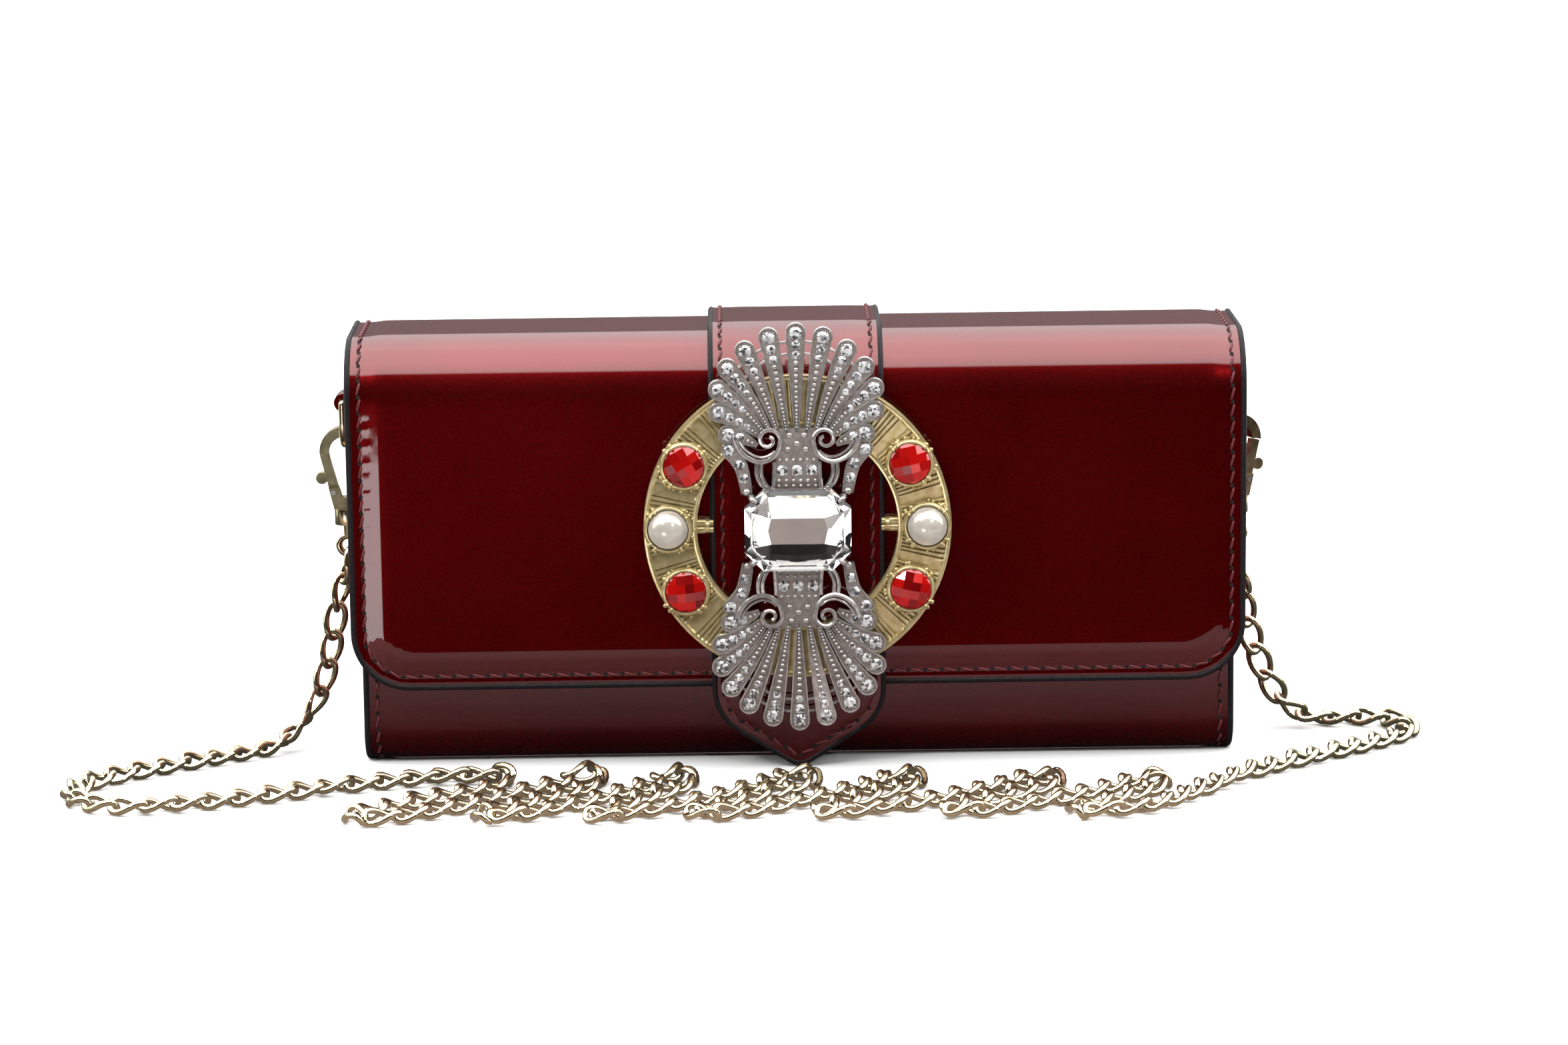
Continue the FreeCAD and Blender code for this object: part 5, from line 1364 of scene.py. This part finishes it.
pavilion += on_crystal([(0.0, 0.62), (0.34, 0.58), (-0.34, 0.58), (0.0, -0.62), (0.34, -0.58), (-0.34, -0.58),
                        (0.76, 0.2), (0.76, -0.2), (-0.76, 0.2), (-0.76, -0.2),
                        (0.66, 0.46), (-0.66, 0.46), (0.66, -0.46), (-0.66, -0.46)], 0.12)
crystal = cut_stone("cut_crystal", [crown + pavilion], crystal_glass, "flap_front")
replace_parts(crystal, "centre_crystal")
shift = Vector((0, 0.1 * MM, 0))
foil_rim = cut_corner(crystal_half_wide * 0.99, crystal_half_high * 0.99, crystal_cut,
                      crystal_back + 0.30 * deep)
foil_spots = [spot + shift for spot in pavilion + foil_rim]
foil = cut_stone("crystal_foil", [foil_spots], crystal_foil, "flap_front")
shape = bmesh.new()
shape.from_mesh(foil.data)
shape.faces.ensure_lookup_table()
front_faces = [face for face in shape.faces if face.normal.y < -0.9]
bmesh.ops.delete(shape, geom=front_faces, context="FACES_ONLY")
# The flat foil facets get a dark brown mirror instead of bright foil: a painted dark reflection at the
# crystal's centre.
for facet_face in shape.faces:
    facet_face.material_index = 1 if abs(facet_face.normal.y) > 0.995 else 0
shape.to_mesh(foil.data)
shape.free()
culet_painted_dark = finish_material("crystal_foil_centre_painted_dark", (0.13, 0.10, 0.085), Metallic=1.0, Roughness=0.06)
two_tone(culet_painted_dark, object_noise(culet_painted_dark, 120.0), (0.12, 0.092, 0.078), (0.14, 0.108, 0.092))
foil.data.materials.append(culet_painted_dark)
tray = []
for step_x, step_up in ((-1, 1), (1, 1), (-1, -1), (1, -1)):
    corner = Vector((step_x * (crystal_half_wide - crystal_cut / 2 + 0.2 * MM),
                     step_up * (crystal_half_high - crystal_cut / 2 + 0.2 * MM)))
    inward = corner * 0.90
    claw = [on_front(*(corner * 1.02), crystal_back - 0.5 * MM),
            on_front(*(corner * 1.035), crystal_back + 0.3 * deep),
            on_front(*corner, crystal_back + 0.52 * deep),
            on_front(*(inward * 1.02), crystal_back + 0.62 * deep)]
    tray.append(tube(claw, [0.8 * MM, 0.75 * MM, 0.65 * MM, 0.4 * MM], 10))
add_piece("crystal_claws", *gather(tray), antique_silver, "flap_front", "antique_silver")
dress("crystal_setting", antique_silver, 0.15 * MM)
